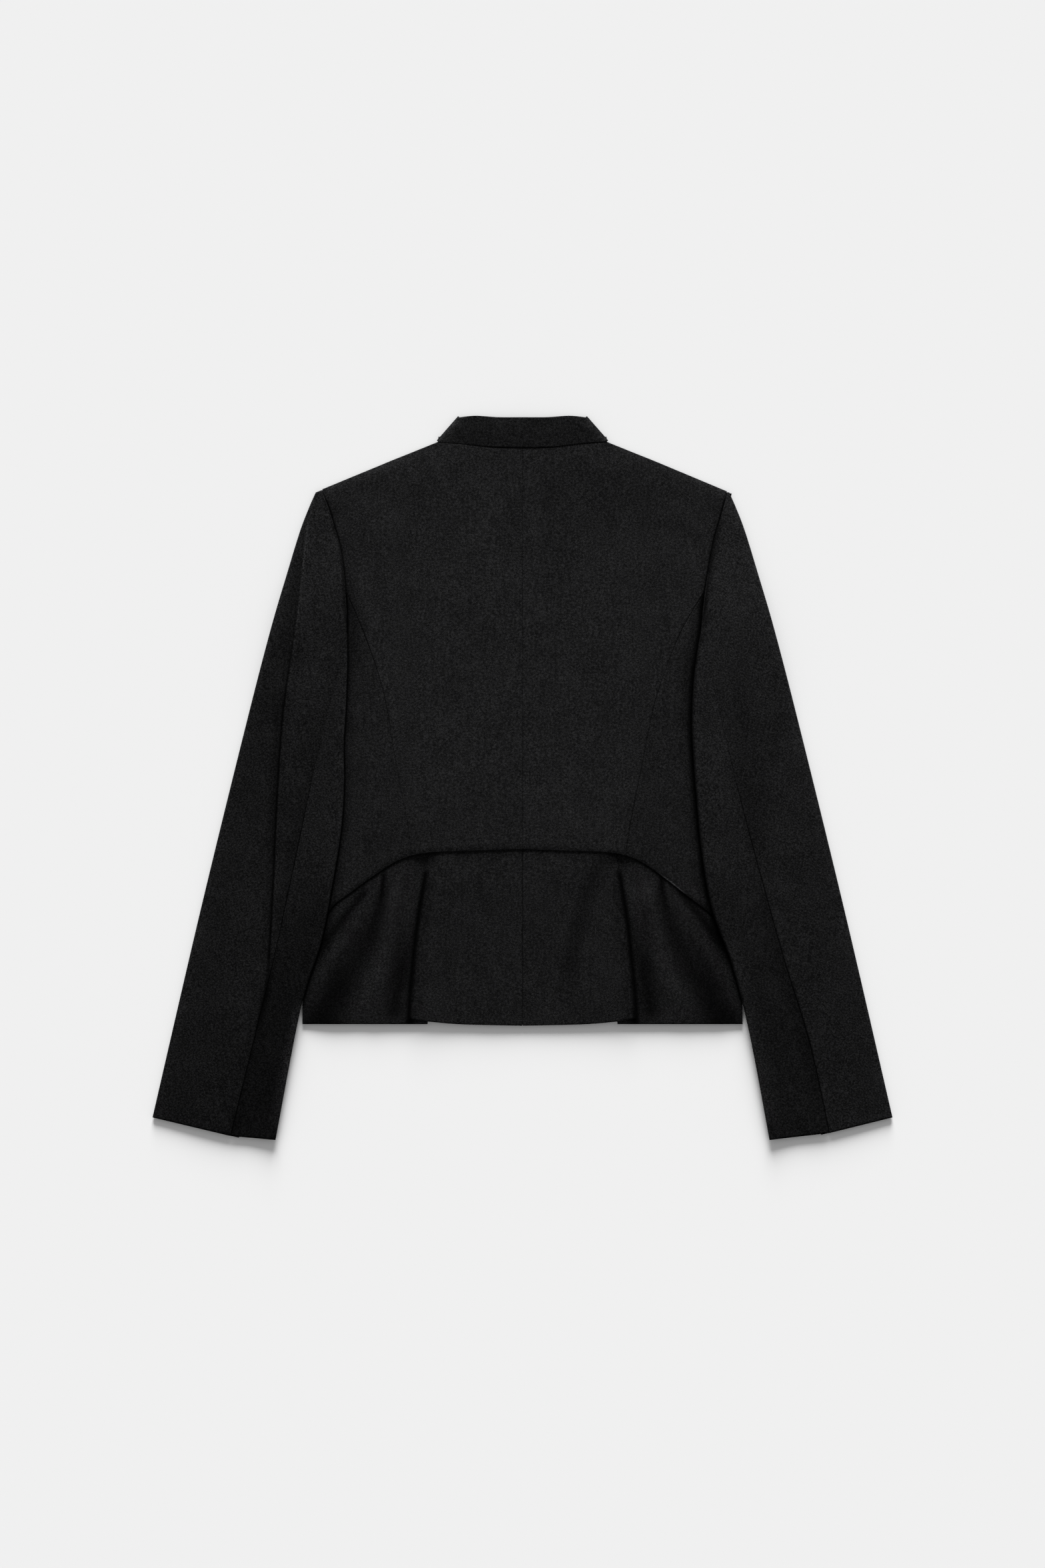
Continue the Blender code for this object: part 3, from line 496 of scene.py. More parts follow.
def patch(bottom, top, left, right):
    """Plan patch between four paths that meet at their ends, read by its shares across and up."""
    def at(across, up):
        a, u = across[..., None], up[..., None]
        sides = mix(bottom(across), top(across), u) + mix(left(up), right(up), a)
        corners = mix(mix(bottom(0.0), bottom(1.0), a), mix(top(0.0), top(1.0), a), u)
        return sides - corners

    return at


# Plan curves
def body_edge(y):
    return read_table(BODY_EDGE, y)


def armhole_edge(y, side):
    return body_edge(y) + read_table(ARMHOLE_SHIFT[side.name], y)


def edge_path(low, high, side=None, rows=48):
    """Outer edge of the body from a height to a higher one, with a side's own armhole if that is given."""
    heights = np.linspace(low, high, rows + 1)
    outside = armhole_edge(heights, side) if side else body_edge(heights)
    return path_through(np.stack([outside, heights], -1), steps=4)


def shoulder_path(side):
    return path_through(SHOULDER_SEAM[:-1] + (SHOULDER_TIP[side.name],))


def waist_y(x, side):
    half = np.abs(x)
    widest = WAIST_SEAM[-1].x
    spread = mix(side.spread, 1.0, ease((half - SPREAD_END) / (widest - SPREAD_END)))
    return read_table(WAIST_SEAM, half / spread)


def waist_places(start, end, side, lift=0.0, rows=13):
    """Places of the waist seam between two half widths, moved up by lift."""
    spans = np.linspace(start, end, rows + 1)
    return np.stack([spans, waist_y(spans, side) + lift], -1)


def waist_path(start, end, side, lift=0.0):
    return path_through(waist_places(start, end, side, lift, rows=32), steps=4)


def princess_path(side):
    """Princess seam from the waist seam to the armhole."""
    last = len(PRINCESS_SEAM) - 1
    places = []
    for k, row in enumerate(PRINCESS_SEAM):
        places.append(Place(mix(row.x * side.spread, row.x, ease(k / last)), row.y))
    places[-1] = Place(float(armhole_edge(PRINCESS_TOP, side)) - SEAM_GAP / 2, PRINCESS_TOP)
    start = Place(places[0].x, waist_y(places[0].x, side))
    return path_through([start] + places[1:])


def princess_opened(side):
    """How far a princess seam opens at places."""
    return lambda places: read_table(PRINCESS_OPENED[side.name], places[..., 1])


def sleeve_opened(places):
    """How far a sleeve's seam opens: hardly near the underarm and fully from the elbow down."""
    return mix(SLEEVE_CLOSED, 1.0, ramp(places[..., 1], start=0.05, run=-0.12))


# Heights of the outer faces
def bodice_top(x, y, side):
    half = np.abs(x)
    neck, tip = SHOULDER_SEAM[0], SHOULDER_SEAM[-1]
    shoulder = np.interp(half, [0.0, neck.x, tip.x], [NECK_RISE, neck.y, tip.y])
    loft = ease((LOFT_START - half) / (LOFT_START - LOFT_FULL)) * ease((shoulder - y) / SHOULDER_ROLL)
    plain = FLANK_TOP + BACK_LOFT * loft
    edge = mix(WAIST_TOP_MIDDLE, WAIST_TOP_SIDE, ease((half - WAIST_STEP_START) / WAIST_STEP_WIDTH))
    return mix(plain, edge, ease(1.0 - (y - waist_y(half, side)) / WAIST_RUN))


def bodice_cloth(x, y, side):
    """Height of the bodice with its folds."""
    return bodice_top(x, y, side) + sum(fold_height(x, y, fold) for fold in BACK_FOLDS)


def peplum_middle(x, y, side):
    """Height of the peplum along its centre back seam."""
    top = waist_y(0.0, side) + WAIST_TUCK
    return PLEAT_TOP - PEPLUM_SAG * ease((top - y) / (top - HEM_MIDDLE[0].y))


def sleeve_rest(x, y):
    """Height of the surface under a sleeve: the body's side where it overlaps it, and the floor beyond."""
    half = np.abs(x)
    outside = half - body_edge(np.minimum(y, UNDERARM))
    above = y - np.interp(half, [place.x for place in ARMHOLE_SCOOP], [place.y for place in ARMHOLE_SCOOP])
    past_side = ease((outside - SLEEVE_OVERHANG) / SLEEVE_DROP)
    past_armhole = ease((above - SLEEVE_OVERHANG) / HEAD_DROP)
    return read_table(SLEEVE_LIFT, y) * (1.0 - past_side) * (1.0 - past_armhole)


def fold_height(x, y, fold, samples=90):
    """Height that one fold adds at places given in the garment's own left and right."""
    line = path_through(fold.places)
    shares = np.linspace(0.0, 1.0, samples)
    points = line(shares)
    ahead = np.gradient(points, axis=0)
    ahead = ahead / np.linalg.norm(ahead, axis=1, keepdims=True)
    flat_x, flat_y = np.ravel(x), np.ravel(y)
    gaps = np.hypot(flat_x[:, None] - points[None, :, 0], flat_y[:, None] - points[None, :, 1])
    near = gaps.argmin(axis=1)
    from_x, from_y = flat_x - points[near, 0], flat_y - points[near, 1]
    along = ahead[near, 0] * from_x + ahead[near, 1] * from_y
    turn = ahead[near, 0] * from_y - ahead[near, 1] * from_x
    past_end = ((near == 0) & (along < 0)) | ((near == samples - 1) & (along > 0))
    away = np.where(past_end, np.hypot(along, turn), np.abs(turn))
    share = shares[near]
    width = np.where(turn > 0, fold.left_width, fold.right_width) * mix(fold.start, 1.0, share)
    grow = ease(share / fold.grow) if fold.grow else 1.0
    fade = ease((1.0 - share) / fold.fade) if fold.fade else 1.0
    return (fold.height * bell(away, width) * grow * fade).reshape(np.shape(x))


def uneven(x, y, height, length, seed, waves=9):
    """Smooth uneven rise and fall, with bumps of about a given height and length."""
    rng = np.random.default_rng(seed)
    total = np.zeros(np.shape(x))
    for _ in range(waves):
        angle, phase = rng.uniform(0.0, 2 * math.pi, 2)
        rate = 2 * math.pi / (length * rng.uniform(0.7, 1.6))
        total += np.cos(rate * (x * math.cos(angle) + y * math.sin(angle)) + phase)
    return height * (total / math.sqrt(2.0 * waves))


# Grids and their edges
def graded(count, length, start=True, end=True):
    """Shares of a grid's lines, close together at the ends that have an edge to round."""
    near = np.array(EDGE_LINES) / length
    parts = [np.linspace(0.0, 1.0, count + 1)]
    parts += [near] if start else []
    parts += [1.0 - near] if end else []
    return np.unique(np.round(np.concatenate(parts), 7))


def lines_after(start, count):
    """Even lines of a grid over the unit that follows a start."""
    return start + np.linspace(0.0, 1.0, count + 1)[1:]


def panel_grid(columns, width, rows, length):
    """Shares across and up every place of a panel's grid, graded at all four edges."""
    return np.meshgrid(graded(columns, width), graded(rows, length))


def turned_lines(top, returning):
    """Lines across a turned piece: to 1 over its top, to 2 round its edge and to 3 along its return."""
    return np.concatenate([top, lines_after(1.0, TURN_LINES), lines_after(2.0, returning)])


def turn_angle(step):
    """Angle of the outer face round a turned edge: upward before the turn and downward after it."""
    return math.pi * (0.5 - np.clip(step - 1.0, 0.0, 1.0))


def upper(step):
    """1 on the top of a turned piece, fading to 0 on the way round its edge."""
    return ramp(step, start=1.5, run=-0.5)


def edge_distances(plan):
    """Distance of each place of a grid from its four edges, along the grid's own lines."""
    across = np.linalg.norm(np.diff(plan, axis=1), axis=2)
    along = np.linalg.norm(np.diff(plan, axis=0), axis=2)
    left = np.pad(np.cumsum(across, axis=1), ((0, 0), (1, 0)))
    low = np.pad(np.cumsum(along, axis=0), ((1, 0), (0, 0)))
    return Edges(left, left[:, -1:] - left, low, low[-1:, :] - low)


def rolled(away, roll, share=1.0):
    """How far an edge that is rolled down, by a share of a roll, sinks at a distance from it."""
    return roll.depth * share * np.clip(1.0 - away / roll.width, 0.0, None) ** 2


def pucker(away, along, seed, depth=0.00016, reach=0.010, length=0.011, stretch=0.35):
    """Small uneven waves that a line of stitching draws into the cloth beside it."""
    return uneven(along, away * stretch, depth, length, seed) * np.clip(1.0 - away / reach, 0.0, None)


# Painted tone, shade and highlights of the cloth
def tone(kind, y):
    return read_table(TONES[kind], y)


def shaded(x, y, lines):
    """Share of the colour that lines of painted shade leave at places."""
    left = np.ones(np.shape(x))
    for line in lines:
        left = left * (1.0 - fold_height(x, y, line))
    return left


def edge_shade(x, y, places, shades):
    """Painted shadow beside the edge of a layer that lies on top: the share of the colour left there."""
    return shaded(x, y, [Fold(places, shade.strength, shade.width, shade.width, 1.0, shade.grow, 0.0)
                         for shade in shades])


def sleeve_shade(x, y, side):
    """Painted shadow beside the inner edge of a sleeve that lies on the body, as the share of colour left."""
    heights = np.linspace(*SLEEVE_CAST_HEIGHTS, num=6)
    head = np.stack([armhole_edge(heights, side), heights], -1)
    return edge_shade(np.abs(x), y, np.vstack([head, SLEEVE_INNER[side.name]]), SLEEVE_CAST[side.name])


def waist_dim(x, y, side, strength):
    """Painted shade where the bodice slopes up to its lower edge: the share of the colour left there."""
    return dimmed(y - waist_y(x, side), strength, width=0.032, at=0.024)


def cuff_shade(places):
    """Painted shade on the turned edge of a cuff, with a painted highlight just above it."""
    away = edge_distances(places).high
    return dimmed(away, strength=0.70, width=0.0022) * dimmed(away, strength=-0.14, width=0.0032, at=0.0048)


# Materials
def new_material(name):
    """Material with its nodes and its shader."""
    material = bpy.data.materials.new(name)
    material.use_nodes = True
    return material, material.node_tree, material.node_tree.nodes["Principled BSDF"]


def set_inputs(tree, node, **inputs):
    """Give a node's inputs values or other nodes' outputs. A name has _ for each space."""
    for name, value in inputs.items():
        socket = node.inputs[name.replace("_", " ")]
        if isinstance(value, bpy.types.NodeSocket):
            tree.links.new(value, socket)
        else:
            socket.default_value = value


def add_node(tree, kind, **inputs):
    node = tree.nodes.new(kind)
    set_inputs(tree, node, **inputs)
    return node


def dark(level):
    return (level, level, level * COOLNESS, 1.0)


def wool(name, grain, contrast=1.0):
    """Black wool twill. grain turns its weave, in degrees, and contrast is how far its flecks stand out."""
    material, tree, shader = new_material(name)

    def turned(source, angle):
        rotation = (0.0, 0.0, math.radians(angle))
        return add_node(tree, "ShaderNodeMapping", Vector=source, Rotation=rotation).outputs["Vector"]

    def noise(source, scale, detail):
        return add_node(tree, "ShaderNodeTexNoise", Vector=source, Scale=scale, Detail=detail).outputs["Fac"]

    def twill(source, angle):
        rate = 2 * math.pi / (20.0 * TWILL_PITCH)
        wave = add_node(tree, "ShaderNodeTexWave", Vector=turned(source, angle), Scale=rate,
                        Distortion=2.2, Detail=1.0, Detail_Scale=1.6)
        return wave.outputs["Fac"]

    def blend(first, second, share):
        return add_node(tree, "ShaderNodeMix", Factor=share, A=first, B=second).outputs["Result"]

    place = add_node(tree, "ShaderNodeTexCoord")
    weave = turned(place.outputs["Object"], grain)
    fine, middle, coarse = [noise(weave, scale, detail=0.0) for scale in FLECK_SCALES]
    fleck = blend(blend(fine, middle, share=0.36), coarse, share=0.32)
    rib = blend(twill(weave, angle=45.0), twill(weave, angle=-45.0), share=0.35)
    drawn = add_node(tree, "ShaderNodeMapping", Vector=weave, Scale=(7.0, 1.0, 7.0)).outputs["Vector"]
    slub, mottle = noise(drawn, scale=60.0, detail=3.0), noise(weave, scale=34.0, detail=2.0)
    grain_mix = blend(blend(fleck, rib, share=0.10), blend(slub, mottle, share=0.40), share=0.17)
    colours = add_node(tree, "ShaderNodeValToRGB", Fac=grain_mix)
    stops = colours.color_ramp.elements
    stops.new(0.5)
    for stop, (at, level) in zip(stops, GRAIN_STOPS):
        stop.position = 0.5 + at / contrast
        stop.color = dark(level)
    # The cloth's colour is scaled by each place's painted tone, shade and highlights
    nap = add_node(tree, "ShaderNodeAttribute")
    nap.attribute_name = "nap"
    shade = add_node(tree, "ShaderNodeVectorMath")
    shade.operation = "SCALE"
    set_inputs(tree, shade, Vector=colours.outputs["Color"], Scale=nap.outputs["Fac"])
    rough = add_node(tree, "ShaderNodeMapRange", Value=fleck, To_Min=0.78, To_Max=1.0)
    weave_height = blend(rib, fleck, share=0.45)
    bump = add_node(tree, "ShaderNodeBump", Strength=0.30, Distance=0.00025, Height=weave_height)
    set_inputs(tree, shader, Base_Color=shade.outputs["Vector"], Roughness=rough.outputs["Result"],
               Normal=bump.outputs["Normal"], Specular_IOR_Level=0.015, Sheen_Weight=0.006,
               Sheen_Roughness=0.45, Sheen_Tint=(0.55, 0.55, 0.57, 1.0))
    return material


def thread():
    """Spun thread of the seams."""
    material, tree, shader = new_material("thread")
    place = add_node(tree, "ShaderNodeTexCoord")
    ply = add_node(tree, "ShaderNodeTexNoise", Vector=place.outputs["Object"], Scale=2500.0)
    colours = add_node(tree, "ShaderNodeValToRGB", Fac=ply.outputs["Fac"])
    for stop, level in zip(colours.color_ramp.elements, (0.006, 0.020)):
        stop.color = dark(level)
    set_inputs(tree, shader, Base_Color=colours.outputs["Color"], Roughness=0.55, Specular_IOR_Level=0.05)
    return material


# Making pieces
def add_object(name, places, faces, material):
    mesh = bpy.data.meshes.new(name)
    mesh.from_pydata(places, [], faces)
    mesh.shade_smooth()
    mesh.materials.append(material)
    piece = bpy.data.objects.new(name, mesh)
    bpy.context.scene.collection.objects.link(piece)
    return piece


def make_cloth(piece, nap, thickness, offset):
    """Give a piece its painted tone, shade and highlights at each place and the thickness of its wall."""
    values = piece.data.attributes.new("nap", "FLOAT", "POINT").data
    values.foreach_set("value", np.ravel(nap).astype(np.float32))
    wall = piece.modifiers.new("Cloth wall", "SOLIDIFY")
    wall.thickness = thickness
    wall.offset = offset


def grid_faces(index):
    """Faces between the corners of a grid, given by their numbers."""
    return np.stack([index[:-1, :-1], index[:-1, 1:], index[1:, 1:], index[1:, :-1]], -1).reshape(-1, 4)


def cloth(node, places, nap, material, upward=(0.5, 0.25)):
    """Thin shell on a grid of places, which replaces a node.

    The third argument is how light the cloth is painted at each place, its painted shade and highlights
    included, and upward is a spot of the grid that looks up.
    """
    rows, columns = places.shape[:2]
    faces = grid_faces(np.arange(rows * columns).reshape(rows, columns))
    row, column = int(upward[0] * (rows - 1)), int(upward[1] * (columns - 1))
    corner = places[row, column]
    normal = np.cross(places[row, column + 1] - corner, places[row + 1, column] - corner)
    if normal[2] < 0:
        faces = faces[:, ::-1]
    piece = add_object("cloth_" + node, places.reshape(-1, 3).tolist(), faces.tolist(), material)
    make_cloth(piece, nap, CLOTH_WALL, offset=-1.0)
    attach(piece, "root")
    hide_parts(node)
    return piece


def with_height(plan, z, sign):
    return np.stack([sign * plan[..., 0], plan[..., 1], z], -1)


# Seam allowances, pressed flat under the seams
def allowance_strips(shares):
    """Side, seam line and height of the cloth for each strip."""
    right = SIDES[0]
    waist = float(waist_y(0.0, right))
    strips = []
    for side in SIDES:
        princess = princess_path(side)(shares)
        armhole = edge_path(ARMHOLE_LOW, SHOULDER_TIP[side.name].y - ALLOWANCE_ROOM, side)(shares)
        neck = path_through(NECK_SEAM)(shares)
        strips += [(side, line, bodice_cloth) for line in (princess, armhole, neck)]
    back = straight((0.0, waist + ALLOWANCE_ROOM / 2), NECK_SEAM[0])(shares)
    hem = HEM_MIDDLE[0].y + ALLOWANCE_ROOM
    peplum = straight((0.0, hem), (0.0, waist + WAIST_TUCK - ALLOWANCE_ROOM))(shares)
    return strips + [(right, back, bodice_cloth), (right, peplum, peplum_middle)]


def make_allowances(material):
    shares = np.linspace(0.0, 1.0, num=121)
    places, faces = [], []
    for side, line, height in allowance_strips(shares):
        ahead = np.gradient(line, axis=0)
        ahead = ahead / np.linalg.norm(ahead, axis=1, keepdims=True)
        aside = np.stack([-ahead[:, 1], ahead[:, 0]], -1) * ALLOWANCE / 2
        first = len(places) * len(shares)
        index = first + np.arange(3 * len(shares)).reshape(3, len(shares))
        for edge in (line + aside, line, line - aside):
            x, y = side.sign * edge[:, 0], edge[:, 1]
            places.append(np.stack([x, y, height(x, y, side) - CLOTH_WALL - ALLOWANCE_DROP], -1))
        faces.append(grid_faces(index)[:, ::side.sign])
    piece = add_object("seam_allowances", np.vstack(places).tolist(), np.vstack(faces).tolist(), material)
    make_cloth(piece, np.full(len(piece.data.vertices), ALLOWANCE_SHADE), ALLOWANCE_WALL, offset=0.0)
    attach(piece, "root")
    return piece


# Thread of the seams, seen as short rungs where a seam opens
def stitch_form():
    """Corners and faces of one stitch along x, one unit long and round, with tapered ends."""
    turns = np.arange(STITCH_SIDES) * 2 * math.pi / STITCH_SIDES
    rings = []
    for at, size in STITCH_PROFILE:
        rings.append(np.column_stack([np.full(STITCH_SIDES, at), size * np.cos(turns), size * np.sin(turns)]))
    faces = [tuple(range(STITCH_SIDES))[::-1], tuple(range(3 * STITCH_SIDES, 4 * STITCH_SIDES))]
    for ring in range(3):
        for k in range(STITCH_SIDES):
            low, next_low = ring * STITCH_SIDES + k, ring * STITCH_SIDES + (k + 1) % STITCH_SIDES
            faces.append((low, next_low, next_low + STITCH_SIDES, low + STITCH_SIDES))
    return np.vstack(rings), faces


def make_thread():
    """Stitches across the centre back, princess and neck seams."""
    right = SIDES[0]
    low, high = float(waist_y(0.0, right)) + STITCH_START, NECK_SEAM[0].y - STITCH_STOP
    seams = [(right, straight((0.0, low), (0.0, high)))]
    for side in SIDES:
        seams += [(side, princess_path(side)), (side, path_through(NECK_SEAM))]
    form, form_faces = stitch_form()
    places, faces = [], []
    for side, seam in seams:
        length = np.linalg.norm(np.diff(seam(np.linspace(0.0, 1.0, num=400)), axis=0), axis=1).sum()
        shares = (np.arange(int(length / STITCH_PITCH)) + 0.5) * STITCH_PITCH / length
        points = seam(shares)
        ahead = seam(np.minimum(shares + 0.002, 1.0)) - seam(np.maximum(shares - 0.002, 0.0))
        ahead = ahead / np.linalg.norm(ahead, axis=1, keepdims=True)
        level = bodice_top(points[:, 0], points[:, 1], side) - STITCH_DEPTH
        for point, way, height in zip(points, ahead, level):
            across = np.array([-way[1], way[0]])
            plan = point + form[:, :1] * STITCH_LENGTH * across + form[:, 1:2] * STITCH_THICKNESS * way
            first = len(places) * len(form)
            places.append(with_height(plan, height + form[:, 2] * STITCH_THICKNESS, side.sign))
            faces += [tuple(first + k for k in face[::side.sign]) for face in form_faces]
    piece = add_object("seam_thread", np.vstack(places).tolist(), faces, thread())
    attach(piece, "root")
    return piece


# Bodice
def make_back(side, material):
    half_gap = CENTRE_GAP / 2
    opened = princess_opened(side)
    armhole = edge_path(PRINCESS_TOP, SHOULDER_TIP[side.name].y, side)
    outer = joined(beside(princess_path(side), SEAM_GAP / 2, opened), armhole, PRINCESS_SHARE)
    top = joined(beside(path_through(NECK_SEAM), -SEAM_GAP / 2), shoulder_path(side), NECK_SHARE)
    waist = waist_path(half_gap, float(outer(0.0)[0]), side)
    centre = straight((half_gap, float(waist_y(0.0, side))), top(0.0))
    places = patch(waist, top, centre, outer)(*panel_grid(columns=64, width=0.150, rows=140, length=0.385))
    x, y = side.sign * places[..., 0], places[..., 1]
    edges = edge_distances(places)
    lumps = uneven(x, y, height=0.00025, length=0.060, seed=3)
    z = bodice_cloth(x, y, side) + lumps * ramp(edges.low, start=0.0, run=0.02)
    z = z + pucker(edges.left, y, seed=11) + pucker(edges.right, y, seed=12 + side.sign)
    z = z - rolled(edges.left, CENTRE_ROLL) - rolled(edges.right, SEAM_ROLL, opened(places))
    at_shoulder = ramp(np.abs(x), start=0.080, run=0.012)
    z = z - mix(rolled(edges.high, SEAM_ROLL), rolled(edges.high, SHOULDER_TURN), at_shoulder)
    z = z - rolled(edges.low, WAIST_ROLL)
    # Painted shade beside the armhole and the seams, above the waist edge, and the back's painted shades
    sleeve_edge = armhole(np.linspace(1.0, 0.0, num=24))
    nap = tone("back", y) * edge_shade(np.abs(x), y, sleeve_edge, ARMHOLE_SHADES[side.name])
    nap = nap * shaded(x, y, BACK_SHADES) * waist_dim(x, y, side, strength=0.20)
    nap = nap * (1.0 - CENTRE_SHADE.strength * np.clip(1.0 - edges.left / CENTRE_SHADE.width, 0.0, 1.0))
    along_neck = ramp(np.abs(x), start=NECK_SHADE_END[side.name], run=-0.03)
    nap = nap * dimmed(edges.high, NECK_SHADE.strength * along_neck, NECK_SHADE.width)
    cloth("back_" + side.name, with_height(places, z, side.sign), nap, material)


def make_back_side(side, material):
    opened = princess_opened(side)
    princess = beside(princess_path(side), -SEAM_GAP / 2, opened)
    armhole = edge_path(UNDERARM, PRINCESS_TOP - SIDE_TOP_DROP, side)
    edge = joined(edge_path(SIDE_WAIST, UNDERARM), armhole, SIDE_SEAM_SHARE)
    start, end = princess(0.0), edge(0.0)
    seam = waist_path(float(start[0]), float(end[0]), side)
    ends = straight(start - seam(0.0), end - seam(1.0))
    top = straight(princess(1.0), edge(1.0))
    grid = panel_grid(columns=90, width=0.090, rows=110, length=0.270)
    places = patch(lambda across: seam(across) + ends(across), top, princess, edge)(*grid)
    x, y = side.sign * places[..., 0], places[..., 1]
    edges = edge_distances(places)
    lumps = uneven(x, y, height=0.00022, length=0.050, seed=5)
    z = bodice_cloth(x, y, side) + lumps * ramp(edges.low, start=0.0, run=0.02)
    z = z + pucker(edges.left, y, seed=12 + side.sign)
    z = z - rolled(edges.left, SEAM_ROLL, opened(places)) - rolled(edges.low, WAIST_ROLL)
    # Painted shadow of the sleeve, the back's painted shades and painted shade above the waist edge
    nap = tone("back_side", y) * sleeve_shade(x, y, side) * shaded(x, y, BACK_SHADES)
    nap = nap * waist_dim(x, y, side, strength=0.14)
    # Painted highlight on the right side's turned waist edge
    if side.sign > 0:
        along = bell(x - SLIVER_MIDDLE, SLIVER_REACH)
        nap = nap * dimmed(edges.low, -SLIVER_LIGHT * along, width=0.0013, at=0.0007)
    cloth("back_side_" + side.name, with_height(places, z, side.sign), nap, material)


def make_front(side, material):
    """Front panel, which lies on the floor under the back."""
    half_gap = SEAM_GAP / 2
    edge = edge_path(FRONT_WAIST + SEAM_GAP, BODY_EDGE[-1].y)
    neck = beside(path_through(COLLAR_BASE_FRONT[::-1]), -SEAM_GAP)
    inset = np.array([half_gap, 0.0])

    def neck_line(share):
        return np.maximum(neck(np.asarray(share) * FRONT_NECK_SHARE), inset)

    top = joined(neck_line, path_through(SHOULDER_SEAM), NECK_SHARE)
    start = (half_gap, FRONT_WAIST + SEAM_GAP)
    plan = patch(straight(start, edge(0.0)), top, straight(start, top(0.0)), edge)
    places = plan(*panel_grid(columns=40, width=0.200, rows=80, length=0.400))
    z = np.full(places.shape[:2], FRONT_TOP)
    cloth("front_" + side.name, with_height(places, z, side.sign), tone("front", places[..., 1]), material)


# Peplum
def make_peplum_back(side, material):
    """Centre of the peplum, from the centre back seam to the pleat, round it and back underneath."""
    top_part = graded(count=110, length=0.100, end=False)
    step, down = np.meshgrid(turned_lines(top_part, returning=8), graded(count=72, length=0.170, start=False))
    level = mix(PLEATS[-1].y, SIDE_HEM, down)
    depth = read_table(PLEATS, level, 2)
    centre_x = read_table(PLEATS, level) - PLEAT_RADIUS
    angle = turn_angle(step)
    flat_x = mix(SEAM_GAP / 2, centre_x, np.minimum(step, 1.0))
    x = flat_x + PLEAT_RADIUS * np.cos(angle) * (step > 1.0)
    x = x - (depth - PLEAT_RADIUS) * np.clip(step - 2.0, 0.0, 1.0)
    hem = read_table(HEM_MIDDLE, x) - RETURN_DROP * np.clip(step - 1.0, 0.0, 1.0)
    y = mix(waist_y(x, side) + WAIST_TUCK, hem, down)
    sag = PEPLUM_SAG * (1.0 - (flat_x / centre_x) ** 2) * ease(down)
    z = PLEAT_TOP - PLEAT_RADIUS + PLEAT_RADIUS * np.sin(angle) - sag
    places = np.stack([x, y], -1)
    edges = edge_distances(places)
    lumps = uneven(side.sign * x, y, height=0.00030, length=0.045, seed=21)
    detail = lumps * ramp(edges.low, start=0.0, run=0.03)
    from_head = np.hypot(x - PLEAT_HEAD.x, (y - PLEAT_HEAD.y) * PLEAT_DIP_STRETCH)
    detail = detail - PLEAT_DIP * bell(from_head, width=0.016)
    detail = detail + pucker(edges.left, y, seed=23) - rolled(edges.high, HEM_ROLL)
    z = z + upper(step) * detail - rolled(edges.left, SEAM_ROLL)
    # Painted shade beside the pleat, in the middle's hollows and below the waist seam
    nap = tone("peplum_back", y) * shaded(x, y, PLEAT_SHADES) * shaded(side.sign * x, y, PEPLUM_HOLLOW_SHADES)
    nap = nap * edge_shade(x, y, waist_places(0.0, 0.13, side), WAIST_SHADES["back"])
    cloth("peplum_back_" + side.name, with_height(places, z, side.sign), nap, material)


def make_peplum_side(side, material):
    """Side of the peplum, from under the pleat to the side seam, with its soft folds."""
    top_row, hem_row = PLEATS[-1], PLEATS[0]
    top_x = top_row.x - top_row.depth - PLEAT_ROOM
    corner = (hem_row.x - hem_row.depth, SIDE_HEM)
    top = waist_path(top_x, float(body_edge(SIDE_WAIST)) - SIDE_INSET, side, WAIST_TUCK)
    edge = edge_path(SIDE_HEM, SIDE_WAIST)
    shift = straight(top(1.0) - edge(1.0), (0.0, 0.0))

    def outer(down):
        return shift(down) + edge(1.0 - np.asarray(down))

    plan = patch(top, straight(corner, outer(1.0)), straight(top(0.0), corner), outer)
    rows_down = graded(count=64, length=0.150, start=False)
    places = plan(*np.meshgrid(np.linspace(0.0, 1.0, num=161), rows_down))
    x, y = places[..., 0], places[..., 1]
    edges = edge_distances(places)
    z = FLANK_TOP + sum(fold_height(x, y, fold) for fold in PEPLUM_FOLDS)
    lumps = uneven(side.sign * x, y, height=0.00025, length=0.040, seed=31)
    z = z + lumps * ramp(edges.low, start=0.0, run=0.03)
    lifted = ramp(y, start=-0.185, run=-0.050) * ramp(x, start=0.2110, run=-0.030)
    z = z + SIDE_HEM_LIFT * lifted - rolled(edges.high, HEM_ROLL)
    # Painted shade in the valleys, by the pleat and hem, below the waist seam and beside the sleeve's edge
    nap = tone("peplum_side", y) * shaded(x, y, PEPLUM_SHADES)
    nap = nap * edge_shade(x, y, waist_places(0.07, WAIST_SEAM[-1].x, side), WAIST_SHADES["side"])
    narrow = edge_shade(x, y, SLEEVE_INNER[side.name], HEM_CAST)
    nap = nap * mix(narrow, sleeve_shade(x, y, side), ramp(y, start=-0.195, run=0.045))
    cloth("peplum_side_" + side.name, with_height(places, z, side.sign), nap, material)


def make_peplum_front(side, material):
    """Front of the peplum, which lies on the floor."""
    edge = edge_path(FRONT_HEM, FRONT_WAIST - SEAM_GAP)
    low, high = (SEAM_GAP / 2, FRONT_HEM), (SEAM_GAP / 2, FRONT_WAIST - SEAM_GAP)
    plan = patch(straight(low, edge(0.0)), straight(high, edge(1.0)), straight(low, high), edge)
    places = plan(*panel_grid(columns=40, width=0.200, rows=24, length=0.085))
    z = np.full(places.shape[:2], FRONT_TOP)
    nap = tone("peplum_front", places[..., 1])
    cloth("peplum_front_" + side.name, with_height(places, z, side.sign), nap, material)


